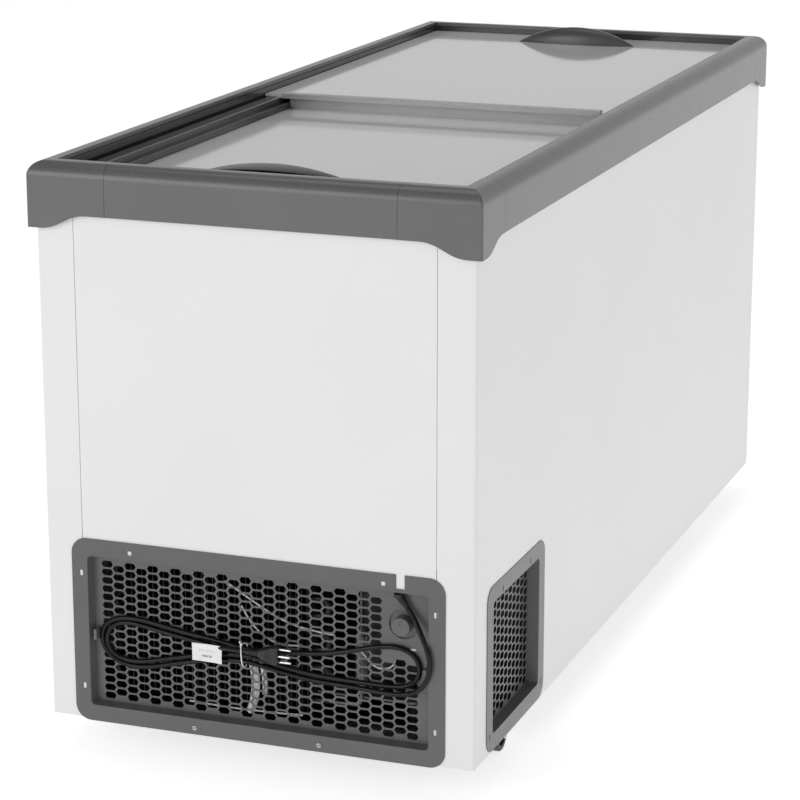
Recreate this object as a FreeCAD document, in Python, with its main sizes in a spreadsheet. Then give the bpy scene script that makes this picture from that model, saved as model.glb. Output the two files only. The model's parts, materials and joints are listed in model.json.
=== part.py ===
"""Chest freezer with two sliding glass lids, as separate pieces, in millimetres.

Frame: the origin is on the floor under the middle of the case, +Z is up, +X runs along the length
away from the machine end, and -Y is the front long side, which carries the small grille.
In names, "machine" is the end at -X and "plain" the end at +X, "front" is -Y and "rear" is +Y.
"""

import FreeCAD
import Part
import Sketcher
import math
import os
import re

Vector = FreeCAD.Vector
Rotation = FreeCAD.Rotation
Placement = FreeCAD.Placement

X_AXIS = Vector(1, 0, 0)
Y_AXIS = Vector(0, 1, 0)
Z_AXIS = Vector(0, 0, 1)

DIMENSIONS = {
    # case of folded sheet
    "case_length": 1663,
    "case_width": 664,
    "case_bottom": 55,
    "panel_top": 866,
    "skin": 1.2,
    "wrap_depth": 57,
    "seam_gap": 1.0,
    "fold_radius": 4,
    "base_level": 72,
    "base_thick": 2,
    # grey rim round the top
    "rim_height": 890,
    "rim_overhang": 10,
    "rim_wall": 2.5,
    "rim_width": 33.5,
    "rim_lip": 6,
    "rim_shoulder": 22,
    "rim_edge": 1.5,
    "skirt_depth": 74,
    "corner_depth": 95,
    "corner_side": 97,
    "corner_end": 122,
    "corner_flat": 16,
    "corner_rise": 90,
    "corner_edge": 3,
    "rim_joint": 0.5,
    # stepped rails under the rim: insets from the outermost face and depths below the rim
    "rail_inset": 24,
    "rail_top": 3.2,
    "rail_notch": 7,
    "rail_wall": 34,
    "groove_inset": 42,
    "groove_depth": 30,
    "shelf_inset": 66,
    "shelf_depth": 20.2,
    "ledge_inset": 76,
    "ledge_depth": 30,
    "slot_inset": 62,
    "slot_top": 38.5,
    "slot_bottom": 44.2,
    "mouth_inset": 80,
    "rail_depth": 60,
    "end_shelf_inset": 60,
    "end_shelf_depth": 22.5,
    # tub, foam and machine compartment
    "liner_thick": 1.5,
    "liner_radius": 16,
    "liner_flange": 12,
    "tub_floor": 122,
    "step_floor": 405,
    "step_end": -430,
    "divider_face": -500,
    "divider_top": 347,
    "foam_radius": 4.5,
    "foam_gap": 0.2,
    "coil_pipe": 8,
    "coil_gap": 5,
    "coil_low": 470,
    "coil_pitch": 62,
    "coil_turns": 5,
    # drain in the tub's floor
    "drain_x": 600,
    "drain_y": -170,
    "drain_bore": 10,
    "drain_outer": 14,
    "drain_tub_hole": 12,
    "drain_foam_hole": 14.5,
    "drain_base_hole": 17,
    "drain_drop": 6,
    "drain_cap_radius": 16,
    "drain_cap_thick": 4,
    "drain_pull_radius": 4,
    "drain_pull_height": 8,
    "drain_stem_low": 8.5,
    "drain_stem_high": 9.6,
    "drain_stem_length": 16,
    "drain_seat": 0.3,
    # glass lids
    "glass_thick": 4,
    "upper_glass": 874,
    "upper_start": -56,
    "upper_length": 861.5,
    "upper_inset": 36,
    "lower_glass": 850,
    "lower_start": -779.5,
    "lower_length": 749.5,
    "lower_inset": 64.5,
    "profile_depth": 14,
    "profile_low": 868.5,
    "profile_high": 877,
    "riser_depth": 12,
    "riser_high": 867.5,
    "riser_low": 844,
    "clip_wall": 1.6,
    "clip_web": 4,
    # cup-pull handles
    "handle_span": 226,
    "handle_wall": 2.4,
    "handle_back": 15,
    "handle_peak": 50,
    "handle_lip_angle": 42,
    "handle_foot": 1.2,
    "handle_foot_depth": 7,
    "upper_handle_height": 31,
    "upper_handle_place": 712,
    "upper_handle_offset": -6,
    "lower_handle_height": 17.5,
    "lower_handle_place": -622,
    "lower_handle_offset": 52,
    # machine grille on the end, and the small grille on the front
    "grille_middle": 2,
    "grille_width": 581,
    "grille_low": 51.5,
    "grille_height": 283.5,
    "grille_corner": 24,
    "grille_rim": 25,
    "grille_rim_low": 25,
    "grille_rim_high": 26.5,
    "pan_depth": 17.5,
    "pan_draft": 3,
    "pan_corner": 7,
    "hole_pitch": 18.33,
    "hole_row": 12.8,
    "hole_tip": 9.3,
    "hole_flat": 6.1,
    "hole_half": 5,
    "hole_columns": 27,
    "hole_rows": 17,
    "first_column": 243.2,
    "first_row": 88.5,
    "blank_columns": 3,
    "blank_above": 203,
    "slot_across": 275.5,
    "slot_low": 105,
    "slot_high": 281,
    "slot_width": 5,
    "slot_height": 9,
    "square_left": 199,
    "square_right": -195,
    "square_level": 319,
    "square_side": 6.5,
    "notch_across": -221,
    "notch_width": 13,
    "notch_depth": 21,
    "hook_across": -239,
    "hook_level": 218,
    "lug_left": 256,
    "lug_right": -258.5,
    "lug_level": 179,
    "screw_left": 100,
    "screw_right": -96,
    "screw_level": 62,
    "screw_radius": 1.9,
    "screw_head": 3.4,
    "screw_head_length": 1.8,
    "screw_length": 12,
    "side_grille_start": 52,
    "side_grille_width": 271,
    "side_grille_low": 56.5,
    "side_grille_height": 250.5,
    "side_columns": 11,
    "side_rows": 15,
    # thermostat
    "knob_across": -220,
    "knob_level": 256.3,
    "dish_radius": 22,
    "dish_depth": 3,
    "knob_radius": 14,
    "knob_face": -830.5,
    "knob_height": 16.9,
    "knob_mark_width": 1.6,
    "knob_mark_length": 9,
    "knob_mark_depth": 0.8,
    "knob_shaft": 3,
    "thermostat_side": 42,
    "thermostat_deep": 34,
    # casters
    "caster_x": 586,
    "caster_y": 294,
    "caster_y_plain": 244,
    "caster_trail": 29,
    "wheel_radius": 25,
    "wheel_width": 18,
    "hub_radius": 9,
    "web_radius": 17,
    "web_recess": 3.5,
    "tread_edge": 1.5,
    "axle_radius": 3,
    "king_radius": 4,
    "running_gap": 0.05,
    "plate_size": 62,
    "plate_thick": 4,
    "race_height": 7,
    "race_radius": 17,
    "crown_level": 60.7,
    "crown_thick": 2.5,
    "crown_radius": 15.5,
    "fork_thick": 2.5,
    "fork_gap": 1,
    "rivet_length": 1.5,
    # machine
    "compressor_x": -625,
    "compressor_y": -120,
    "compressor_radius": 78,
    "compressor_seat": 100,
    "compressor_height": 178,
    "mount_half": 95,
    "mount_thick": 3,
    "grommet_radius": 12,
    "terminal_width": 64,
    "terminal_deep": 36,
    "terminal_height": 58,
    "terminal_rise": 24,
    "terminal_bite": 14,
    "shell_side_low": 26,
    "shell_foot": 9,
    "shell_seam": 92,
    "shell_seam_height": 5,
    "shell_seam_reach": 5,
    "shell_shoulder": 34,
    "shell_crown": 12,
    "condenser_x": -775,
    "condenser_deep": 40,
    "condenser_low": 108,
    "condenser_rows": 8,
    "condenser_pitch": 26,
    "condenser_right": -90,
    "condenser_left": 250,
    "condenser_pipe": 9.5,
    "fin_thick": 0.8,
    "fin_count": 34,
    "fin_gap": 0.15,
    "drier_radius": 9,
    "drier_length": 100,
    "drier_offset": 50,
    "drier_rise": 20,
    "discharge_x": -645,
    "discharge_offset": 22,
    "discharge_rise": 42,
    "suction_x": -600,
    "suction_y": -150,
    "suction_rise": 36,
    "pipe_bend": 9,
    "capillary_rise": 60,
    "capillary_drift": 25,
    "capillary_bend": 6,
    "pipe": 8,
    "capillary": 3,
    "fan_y": 80,
    "fan_z": 200,
    "fan_radius": 87,
    "fan_hub": 22,
    "fan_plane": -721,
    "fan_pitch_angle": 28,
    "fan_blades": 5,
    "fan_chord": 50,
    "fan_thick": 1.6,
    "fan_hub_length": 18,
    "shroud_face": -752,
    "shroud_bore": 92,
    "shroud_end": -703,
    "shroud_wall": 2,
    "shroud_margin": 16,
    "motor_gap": 3,
    "motor_bar_height": 16,
    "motor_radius": 28,
    "motor_length": 45,
    "motor_shaft": 2.5,
    # power cord
    "cord_width": 7.5,
    "hank_front": -832.2,
    "hank_back": -816.4,
    "gland_length": 20,
    "gland_root": 6.2,
    "gland_tip": 4.3,
    "gland_collar_radius": 7,
    "gland_collar_low": 299.5,
    "gland_collar_height": 5.4,
    "plug_out": 12,
    "plug_up": 141,
    "plug_across": 292,
    "plug_tail": 20,
    "pin_radius": 2,
    "pin_length": 19,
    "pin_root": 3,
    "pin_spread": 9.5,
    "earth_out": 3,
    "tag_across": 386,
    "tag_up": 113,
    "tag_width": 47,
    "tag_height": 27,
    "tag_thick": 0.8,
    "tie_across": 349.5,
    "tie_up": 112.5,
    "tie_width": 3,
    "tie_height": 30,
    "tie_thick": 1.2,
}

doc = FreeCAD.newDocument("ChestFreezer")
sheet = doc.addObject("Spreadsheet::Sheet", "Dims")
for row, (alias, amount) in enumerate(DIMENSIONS.items(), start=1):
    sheet.set(f"A{row}", alias)
    sheet.set(f"B{row}", str(amount))
    sheet.setAlias(f"B{row}", alias)
doc.recompute()

ALIAS = re.compile(r"\b(" + "|".join(sorted(DIMENSIONS, key=len, reverse=True)) + r")\b")
PIECES = {}


def qualified(formula):
    """A formula of dimension names, written the way the spreadsheet's aliases are read."""
    return ALIAS.sub(lambda match: "Dims." + match.group(0), str(formula))


def size(formula):
    """The number that a formula of dimension names stands for."""
    return float(sheet.evalExpression(qualified(formula)))


def bind(item, prop, formula):
    item.setExpression(prop, qualified(formula))


def place(item, base, turn=None):
    """Puts an object at a base point given by three formulas, turned by an optional rotation."""
    item.Placement = Placement(Vector(0, 0, 0), turn or Rotation())
    for axis, formula in zip("xyz", base):
        bind(item, f"Placement.Base.{axis}", formula)


def keep(item, node):
    """Names an object as a finished piece; its Label is the piece's file and node name."""
    item.Label = node
    PIECES[node] = item
    return item


def box(name, base, sides):
    item = doc.addObject("Part::Box", name)
    for prop, formula in zip(("Length", "Width", "Height"), sides):
        bind(item, prop, formula)
    place(item, base)
    return item


def cylinder(name, base, radius, height, axis=Z_AXIS):
    item = doc.addObject("Part::Cylinder", name)
    bind(item, "Radius", radius)
    bind(item, "Height", height)
    place(item, base, Rotation(Z_AXIS, axis))
    return item


def cone(name, base, low_radius, high_radius, height, axis=Z_AXIS):
    item = doc.addObject("Part::Cone", name)
    bind(item, "Radius1", low_radius)
    bind(item, "Radius2", high_radius)
    bind(item, "Height", height)
    place(item, base, Rotation(Z_AXIS, axis))
    return item


def fuse(name, items):
    item = doc.addObject("Part::MultiFuse", name)
    item.Shapes = items
    item.Refine = True
    return item


def common(name, items):
    item = doc.addObject("Part::MultiCommon", name)
    item.Shapes = items
    return item


def cut(name, base, tools):
    item = doc.addObject("Part::Cut", name)
    item.Base = base
    item.Tool = tools[0] if len(tools) == 1 else fuse(name + "_tools", tools)
    return item


def group(name, items):
    item = doc.addObject("Part::Compound", name)
    item.Links = items
    return item


def feature(name, shape):
    item = doc.addObject("Part::Feature", name)
    item.Shape = shape
    return item


def rounded(name, base, radius, wanted):
    """Fillets the edges of base whose middle point passes the test wanted(point, edge)."""
    doc.recompute()
    item = doc.addObject("Part::Fillet", name)
    item.Base = base
    amount = size(radius)
    item.Edges = [(number, amount, amount) for number in edge_numbers(base.Shape, wanted)]
    return item


def edge_numbers(shape, wanted):
    numbers = []
    for number, edge in enumerate(shape.Edges, start=1):
        middle = edge.valueAt((edge.FirstParameter + edge.LastParameter) / 2)
        if wanted(middle, edge):
            numbers.append(number)
    if not numbers:
        raise RuntimeError("no edge fits the fillet")
    return numbers


def origin_plane(body, role):
    return next(item for item in body.Origin.OriginFeatures if item.Role == role)


def outline_sketch(body, name, plane, corners):
    """A closed outline whose corners are pairs of formulas, each held by two distances."""
    sketch = body.newObject("Sketcher::SketchObject", name)
    sketch.AttachmentSupport = [(origin_plane(body, plane), "")]
    sketch.MapMode = "FlatFace"
    points = [Vector(size(across), size(up), 0) for across, up in corners]
    count = len(points)
    for index in range(count):
        sketch.addGeometry(Part.LineSegment(points[index], points[(index + 1) % count]))
    for index in range(count):
        sketch.addConstraint(Sketcher.Constraint("Coincident", index, 2, (index + 1) % count, 1))
    for index, (across, up) in enumerate(corners):
        spot = points[index]
        held = sketch.addConstraint(Sketcher.Constraint("DistanceX", -1, 1, index, 1, spot.x))
        bind(sketch, f"Constraints[{held}]", across)
        held = sketch.addConstraint(Sketcher.Constraint("DistanceY", -1, 1, index, 1, spot.y))
        bind(sketch, f"Constraints[{held}]", up)
    return sketch


def padded_body(name, plane, corners, length):
    body = doc.addObject("PartDesign::Body", name)
    sketch = outline_sketch(body, name + "_outline", plane, corners)
    pad = body.newObject("PartDesign::Pad", name + "_pad")
    pad.Profile = sketch
    bind(pad, "Length", length)
    doc.recompute()
    return body


def round_body(body, name, radius, wanted):
    """Adds a fillet feature to a body, on the edges that pass the test."""
    fillet = body.newObject("PartDesign::Fillet", name)
    tip = body.Tip if body.Tip != fillet else fillet.BaseFeature
    numbers = edge_numbers(tip.Shape, wanted)
    fillet.Base = (tip, [f"Edge{number}" for number in numbers])
    bind(fillet, "Radius", radius)
    body.Tip = fillet
    doc.recompute()
    return fillet


def turned_body(name, corners):
    """A body of revolution about its own Z axis from an outline of radius and height formulas."""
    body = doc.addObject("PartDesign::Body", name)
    sketch = outline_sketch(body, name + "_outline", "XZ_Plane", corners)
    turn = body.newObject("PartDesign::Revolution", name + "_turn")
    turn.Profile = sketch
    turn.ReferenceAxis = (sketch, ["V_Axis"])
    turn.Angle = 360
    doc.recompute()
    return body


def along_x(edge):
    return edge.Length > 20 and abs(edge.tangentAt(edge.FirstParameter).x) > 0.999


def upright(edge):
    return edge.Curve.TypeId == "Part::GeomLine" and abs(edge.tangentAt(0).z) > 0.999


def near(one, other, slack=0.05):
    return abs(one - other) < slack


# ---------------------------------------------------------------- straight runs round the top edge

SIDES = {
    # name: (turn about Z, reach of the rim from the middle, base formula of a run of a given length)
    "front": (0, "case_width/2 + rim_overhang", ("-({0})/2", "0", "0")),
    "rear": (180, "case_width/2 + rim_overhang", ("({0})/2", "0", "0")),
    "machine": (-90, "case_length/2 + rim_overhang", ("0", "({0})/2", "0")),
    "plain": (90, "case_length/2 + rim_overhang", ("0", "-({0})/2", "0")),
}


def edge_run(node, side, section, length):
    """A straight run along one side, from a section of insets from the outermost face and depths
    below the top of the rim."""
    angle, reach, base = SIDES[side]
    corners = [(f"{inset} - ({reach})", f"rim_height - {depth}") for inset, depth in section]
    body = padded_body(node, "YZ_Plane", corners, length)
    place(body, [part.format(length) for part in base], Rotation(Z_AXIS, angle))
    return body


RIM_SECTION = [
    ("0", "skirt_depth"),
    ("0", "0"),
    ("rim_width", "0"),
    ("rim_width", "rim_lip"),
    ("(rim_width - rim_wall)", "rim_lip"),
    ("(rim_width - rim_wall)", "rim_wall"),
    ("rim_wall", "rim_wall"),
    ("rim_wall", "skirt_depth"),
]


def rim_run(node, side, length):
    body = edge_run(node, side, RIM_SECTION, length)
    outer = -size(SIDES[side][1])
    top = size("rim_height")
    wall = size("rim_wall")
    skirt = top - size("skirt_depth")
    inner = outer + size("rim_width")

    def edge_at(y, z):
        return lambda point, edge: along_x(edge) and near(point.y, y) and near(point.z, z)

    round_body(body, node + "_shoulder", "rim_shoulder", edge_at(outer, top))
    round_body(body, node + "_hollow", "rim_shoulder - rim_wall", edge_at(outer + wall, top - wall))
    round_body(body, node + "_inner_edge", "rim_edge", edge_at(inner, top))
    round_body(body, node + "_hem", "rim_wall/3", edge_at(outer, skirt))
    return keep(body, node)


side_run = "(case_length + 2*rim_overhang - 2*corner_side - 2*rim_joint)"
end_run = "(case_width + 2*rim_overhang - 2*corner_end - 2*rim_joint)"
rim_run("trim_front", "front", side_run)
rim_run("trim_rear", "rear", side_run)
rim_run("trim_machine_end", "machine", end_run)
rim_run("trim_plain_end", "plain", end_run)


# ---------------------------------------------------------------- drop-down rim corners

def corner_block(name, inset, radius):
    """The corner's outer or inner form: two rounded shoulders that meet in a mitre."""
    base = (f"-case_length/2 - rim_overhang + {inset}", f"-case_width/2 - rim_overhang + {inset}",
            "rim_height - corner_depth - 1")
    sides = (f"corner_side - {inset}", f"corner_end - {inset}", f"corner_depth + 1 - {inset}")
    halves = []
    for half in ("side", "end"):
        block = box(f"{name}_{half}_block", base, sides)
        doc.recompute()
        top = block.Shape.BoundBox.ZMax
        low = block.Shape.BoundBox.YMin if half == "side" else block.Shape.BoundBox.XMin

        def wanted(point, edge, half=half, top=top, low=low):
            across = point.y if half == "side" else point.x
            return near(point.z, top) and near(across, low)

        halves.append(rounded(f"{name}_{half}", block, radius, wanted))
    return common(name, halves)


def skirt_sweep(name, along):
    """The tool that shapes one leg's lower edge: low at the corner, then an S up to the skirt."""
    low = size("rim_height - corner_depth")
    high = size("rim_height - skirt_depth")
    start = size("corner_flat")
    finish = size("corner_rise")
    beyond = size("corner_end") + 5
    bend = Part.BezierCurve()
    reach = (finish - start) * 0.45
    poles = [(start, low), (start + reach, low), (finish - reach, high), (finish, high)]
    bend.setPoles([Vector(across, 0, up) for across, up in poles])
    below = low - 5
    ends = [(finish, high), (beyond, high), (beyond, below), (start, below), (start, low)]
    path = [Vector(across, 0, up) for across, up in ends]
    lines = [Part.makeLine(path[index], path[index + 1]) for index in range(len(path) - 1)]
    face = Part.Face(Part.Wire([bend.toShape()] + lines))
    tool = face.extrude(Vector(0, size("rim_wall") + 6, 0))
    if tool.Volume < 0:
        tool.reverse()
    tool.translate(Vector(0, -3, 0))
    if along == "y":
        tool = tool.mirror(Vector(0, 0, 0), Vector(1, -1, 0))
    item = feature(name, tool)
    place(item, ("-case_length/2 - rim_overhang", "-case_width/2 - rim_overhang", "0"))
    return item


def front_machine_corner():
    outer = corner_block("corner_outer", "0", "rim_shoulder")
    crease_x = size("-case_length/2 - rim_overhang")
    crease_y = size("-case_width/2 - rim_overhang")

    def on_crease(point, edge):
        return near(point.x - crease_x, point.y - crease_y) and point.x - crease_x < 25

    softened = rounded("corner_softened", outer, "corner_edge", on_crease)
    inner = corner_block("corner_inner", "rim_wall", "rim_shoulder - rim_wall")
    outer_x = "-case_length/2 - rim_overhang"
    outer_y = "-case_width/2 - rim_overhang"
    mouth = box("corner_mouth", (f"{outer_x} + rim_width", f"{outer_y} + rim_width",
                                 "rim_height - corner_depth - 2"),
                ("corner_side", "corner_end", "corner_depth + 4"))
    foot = box("corner_foot", (f"{outer_x} - 5", f"{outer_y} - 5", "rim_height - corner_depth - 5"),
               ("corner_side + 10", "corner_end + 10", "5"))
    shell = cut("corner_shell", softened, [inner, mouth, foot])
    lip_low = "rim_height - rim_lip"
    lip_high = "rim_lip - rim_wall"
    side_lip = box("corner_side_lip", (f"{outer_x} + rim_width - rim_wall",
                                       f"{outer_y} + rim_width - rim_wall", lip_low),
                   ("corner_side - rim_width + rim_wall", "rim_wall", lip_high))
    end_lip = box("corner_end_lip", (f"{outer_x} + rim_width - rim_wall",
                                     f"{outer_y} + rim_width - rim_wall", lip_low),
                  ("rim_wall", "corner_end - rim_width + rim_wall", lip_high))
    lipped = fuse("corner_lipped", [shell, side_lip, end_lip])
    sweeps = [skirt_sweep("corner_sweep_side", "x"), skirt_sweep("corner_sweep_end", "y")]
    return keep(cut("corner_front_machine", lipped, sweeps), "trim_corner_front_machine")


def mirrored(name, source, normal):
    item = doc.addObject("Part::Mirroring", name)
    item.Source = source
    item.Normal = normal
    return item


first_corner = front_machine_corner()
keep(mirrored("corner_rear_machine", first_corner, Y_AXIS), "trim_corner_rear_machine")
front_plain = keep(mirrored("corner_front_plain", first_corner, X_AXIS), "trim_corner_front_plain")
keep(mirrored("corner_rear_plain", front_plain, Y_AXIS), "trim_corner_rear_plain")


# ---------------------------------------------------------------- lid rails and end frames

RAIL_SECTION = [
    ("rail_inset", "rail_depth"),
    ("rail_inset", "rail_top"),
    ("(rail_wall - 3.5)", "rail_top"),
    ("(rail_wall - 3.5)", "rail_notch"),
    ("rail_wall", "rail_notch"),
    ("rail_wall", "groove_depth"),
    ("groove_inset", "groove_depth"),
    ("groove_inset", "shelf_depth"),
    ("shelf_inset", "shelf_depth"),
    ("shelf_inset", "ledge_depth"),
    ("ledge_inset", "ledge_depth"),
    ("ledge_inset", "slot_top"),
    ("slot_inset", "slot_top"),
    ("slot_inset", "slot_bottom"),
    ("mouth_inset", "slot_bottom"),
    ("mouth_inset", "rail_depth"),
]
END_SECTION = [
    ("rail_inset", "rail_depth"),
    ("rail_inset", "rail_top"),
    ("(rail_wall - 3.5)", "rail_top"),
    ("(rail_wall - 3.5)", "rail_notch"),
    ("rail_wall", "rail_notch"),
    ("rail_wall", "end_shelf_depth"),
    ("end_shelf_inset", "end_shelf_depth"),
    ("end_shelf_inset", "slot_bottom"),
    ("mouth_inset", "slot_bottom"),
    ("mouth_inset", "rail_depth"),
]
rail_length = "(case_length + 2*rim_overhang - 2*rail_wall)"
frame_length = "(case_width + 2*rim_overhang - 2*rail_inset)"
rails = [edge_run("lid_rail_front", "front", RAIL_SECTION, rail_length),
         edge_run("lid_rail_rear", "rear", RAIL_SECTION, rail_length)]
for rail, node in zip(rails, ("lid_rail_front", "lid_rail_rear")):
    keep(rail, node)
for side in ("machine", "plain"):
    whole = edge_run(f"end_frame_{side}_whole", side, END_SECTION, frame_length)
    keep(cut(f"end_frame_{side}_cut", whole, rails), f"end_frame_{side}")


# ---------------------------------------------------------------- outer panels and base

panel_height = "panel_top - case_bottom"


def long_panel(node, side):
    """A long side of one sheet, folded round both corners."""
    sign = -1 if side == "front" else 1
    outer = box(node + "_outer", ("-case_length/2", "-case_width/2", "case_bottom"),
                ("case_length", "wrap_depth", panel_height))
    doc.recompute()
    face = outer.Shape.BoundBox.YMin
    folded = rounded(node + "_folds", outer, "fold_radius",
                     lambda point, edge: upright(edge) and near(point.y, face))
    hollow = box(node + "_hollow", ("-case_length/2 + skin", "-case_width/2 + skin", "case_bottom - 5"),
                 ("case_length - 2*skin", "wrap_depth + 10", panel_height + " + 10"))
    doc.recompute()
    inner_face = hollow.Shape.BoundBox.YMin
    inner = rounded(node + "_inner_folds", hollow, "fold_radius - skin",
                    lambda point, edge: upright(edge) and near(point.y, inner_face))
    tools = [inner]
    if sign < 0:
        tools.append(box("side_window", ("-case_length/2 + side_grille_start + 20", "-case_width/2 - 5",
                                         "side_grille_low + 20"),
                         ("side_grille_width - 40", "20", "side_grille_height - 40")))
    panel = cut(node + "_sheet", folded, tools)
    if sign > 0:
        panel = mirrored(node + "_mirrored", panel, Y_AXIS)
    return keep(panel, node)


long_panel("case_front_panel", "front")
long_panel("case_rear_panel", "rear")

inset_width = "case_width - 2*wrap_depth - 2*seam_gap"
machine_sheet = box("machine_end_sheet", ("-case_length/2", f"-({inset_width})/2", "case_bottom"),
                    ("skin", inset_width, panel_height))
machine_window = box("machine_window", ("-case_length/2 - 5",
                                        "grille_middle - grille_width/2 + grille_rim - 2",
                                        "grille_low + grille_rim_low - 2"),
                     ("20", "grille_width - 2*grille_rim + 4",
                      "grille_height - grille_rim_low - grille_rim_high + 4"))
screw_holes = [cylinder(f"{name}_hole", ("-case_length/2 - 5", name, "screw_level"),
                        "screw_radius + 0.1", "20", X_AXIS) for name in ("screw_left", "screw_right")]
keep(cut("machine_end_cut", machine_sheet, [machine_window] + screw_holes), "machine_end_panel")
keep(box("plain_end_sheet", ("case_length/2 - skin", f"-({inset_width})/2", "case_bottom"),
         ("skin", inset_width, panel_height)), "plain_end_panel")

base_x = "-case_length/2 + skin + foam_gap"
base_y = "-case_width/2 + skin + foam_gap"
base_plate = box("base_plate", (base_x, base_y, "base_level"),
                 ("case_length - 2*skin - 2*foam_gap", "case_width - 2*skin - 2*foam_gap", "base_thick"))
base_rounded = rounded("base_rounded", base_plate, "fold_radius", lambda point, edge: upright(edge))
drain_hole = cylinder("base_drain_hole", ("drain_x", "drain_y", "base_level - 5"), "drain_base_hole",
                      "20")
keep(cut("base_cut", base_rounded, [drain_hole]), "base_panel")


# ---------------------------------------------------------------- tub liner, foam and evaporator

half_tub_x = "(case_length/2 + rim_overhang - mouth_inset)"
half_tub_y = "(case_width/2 + rim_overhang - mouth_inset)"
liner_top = "(rim_height - rail_depth)"


def tub_block(name, grow, top):
    """The tub's inside (grow 0) or outside: a deep part, and a shallow part over the machine."""
    deep = box(name + "_deep", (f"step_end - ({grow})", f"-{half_tub_y} - ({grow})",
                                f"tub_floor - ({grow})"),
               (f"{half_tub_x} - step_end + 2*({grow})", f"2*{half_tub_y} + 2*({grow})",
                f"{top} - tub_floor + ({grow})"))
    shallow = box(name + "_shallow", (f"-{half_tub_x} - ({grow})", f"-{half_tub_y} - ({grow})",
                                      f"step_floor - ({grow})"),
                  (f"2*{half_tub_x} + 2*({grow})", f"2*{half_tub_y} + 2*({grow})",
                   f"{top} - step_floor + ({grow})"))
    both = fuse(name + "_block", [deep, shallow])
    return rounded(name, both, f"liner_radius + ({grow})", lambda point, edge: upright(edge))


tub_inside = tub_block("tub_inside", "0", "(rim_height - rail_depth + 5)")
tub_outside = tub_block("tub_outside", "liner_thick", liner_top)
flange = box("liner_flange_plate", ("-case_length/2 - rim_overhang + liner_flange",
                                    "-case_width/2 - rim_overhang + liner_flange",
                                    f"{liner_top} - liner_thick"),
             ("case_length + 2*rim_overhang - 2*liner_flange",
              "case_width + 2*rim_overhang - 2*liner_flange", "liner_thick"))
flange_rounded = rounded("liner_flange_rounded", flange, "fold_radius",
                         lambda point, edge: upright(edge))
liner_shell = fuse("liner_solid", [tub_outside, flange_rounded])
liner_drain = cylinder("liner_drain_hole", ("drain_x", "drain_y", "tub_floor - 10"), "drain_tub_hole",
                       "20")
liner_sheet = cut("liner_cut", liner_shell, [tub_inside, liner_drain])

# The liner is seamed together from flat panels and six round corner strips.  Each panel is what the
# sheet leaves in one block of space: low corner, then high corner.
liner_far = ("case_length/2", "case_width/2", "rim_height")
LINER_PANELS = {
    "front": (("-case_length/2", "-case_width/2", "0"), ("case_length/2", f"-{half_tub_y}", "rim_height")),
    "rear": (("-case_length/2", half_tub_y, "0"), liner_far),
    "machine": (("-case_length/2", f"-{half_tub_y}", "0"), (f"-{half_tub_x}", half_tub_y, "rim_height")),
    "plain": ((half_tub_x, f"-{half_tub_y}", "0"), ("case_length/2", half_tub_y, "rim_height")),
    "floor": ((f"-{half_tub_x}", f"-{half_tub_y}", "0"), (half_tub_x, half_tub_y, "tub_floor")),
    "step": ((f"-{half_tub_x}", f"-{half_tub_y}", "tub_floor"),
             ("step_end", half_tub_y, "step_floor - liner_thick")),
    "shelf": ((f"-{half_tub_x}", f"-{half_tub_y}", "step_floor - liner_thick"),
              ("step_end", half_tub_y, "step_floor")),
    "low_corners": (("step_end", f"-{half_tub_y}", "tub_floor"), (half_tub_x, half_tub_y, "step_floor")),
    "high_corners": ((f"-{half_tub_x}", f"-{half_tub_y}", "step_floor"),
                     (half_tub_x, half_tub_y, "rim_height")),
}
liner_panels = []
for name, (low, high) in LINER_PANELS.items():
    sides = [f"({end}) - ({start})" for start, end in zip(low, high)]
    liner_panels.append(common(f"liner_{name}", [liner_sheet, box(f"liner_{name}_space", low, sides)]))
keep(group("liner_panels", liner_panels), "liner_tub")


def tube_path(points, diameter, radii=None, report=None):
    """Straight runs joined by tangent arcs.  Each arc is as large as its two runs allow, or has the
    radius given."""
    edges = []
    start = points[0]
    found = []
    for index in range(1, len(points) - 1):
        before = points[index] - points[index - 1]
        after = points[index + 1] - points[index]
        half_turn = before.getAngle(after) / 2
        radius = radii or 0.45 * min(before.Length, after.Length) / math.tan(half_turn)
        cut_back = radius * math.tan(half_turn)
        before.normalize()
        after.normalize()
        enter = points[index] - before * cut_back
        leave = points[index] + after * cut_back
        inward = after - before
        inward.normalize()
        centre = points[index] + inward * (radius / math.cos(half_turn))
        middle = centre - inward * radius
        edges.append(Part.LineSegment(start, enter).toShape())
        edges.append(Part.Arc(enter, middle, leave).toShape())
        start = leave
        found.append(radius)
    edges.append(Part.LineSegment(start, points[-1]).toShape())
    wire = Part.Wire(edges)
    if report:
        print(report, "length", round(wire.Length, 1), "radii", [round(radius, 1) for radius in found])
    first = points[1] - points[0]
    section = Part.Wire(Part.makeCircle(diameter / 2, points[0], first))
    solid = wire.makePipeShell([section], True, False)
    wanted = math.pi * diameter ** 2 / 4 * wire.Length
    if abs(solid.Volume - wanted) > 0.01 * wanted:
        raise RuntimeError(f"{report or 'tube'}: volume {solid.Volume} is not {wanted}")
    return solid


def evaporator():
    """Pipe wound round the tub, stepping up one pitch along the plain end of each turn."""
    reach = size("liner_thick + coil_gap + coil_pipe/2")
    far_x = size(half_tub_x) + reach
    far_y = size(half_tub_y) + reach
    low = size("coil_low")
    pitch = size("coil_pitch")
    points = [Vector(0, -far_y, low)]
    for turn in range(int(size("coil_turns"))):
        level = low + turn * pitch
        points.append(Vector(-far_x, -far_y, level))
        points.append(Vector(-far_x, far_y, level))
        points.append(Vector(far_x, far_y, level))
        points.append(Vector(far_x, -far_y, level + pitch))
    points.append(Vector(0, -far_y, low + size("coil_turns") * pitch))
    return tube_path(points, size("coil_pipe"), radii=size("liner_radius") + reach)


coil = keep(feature("evaporator_pipe", evaporator()), "evaporator_coil")

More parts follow.
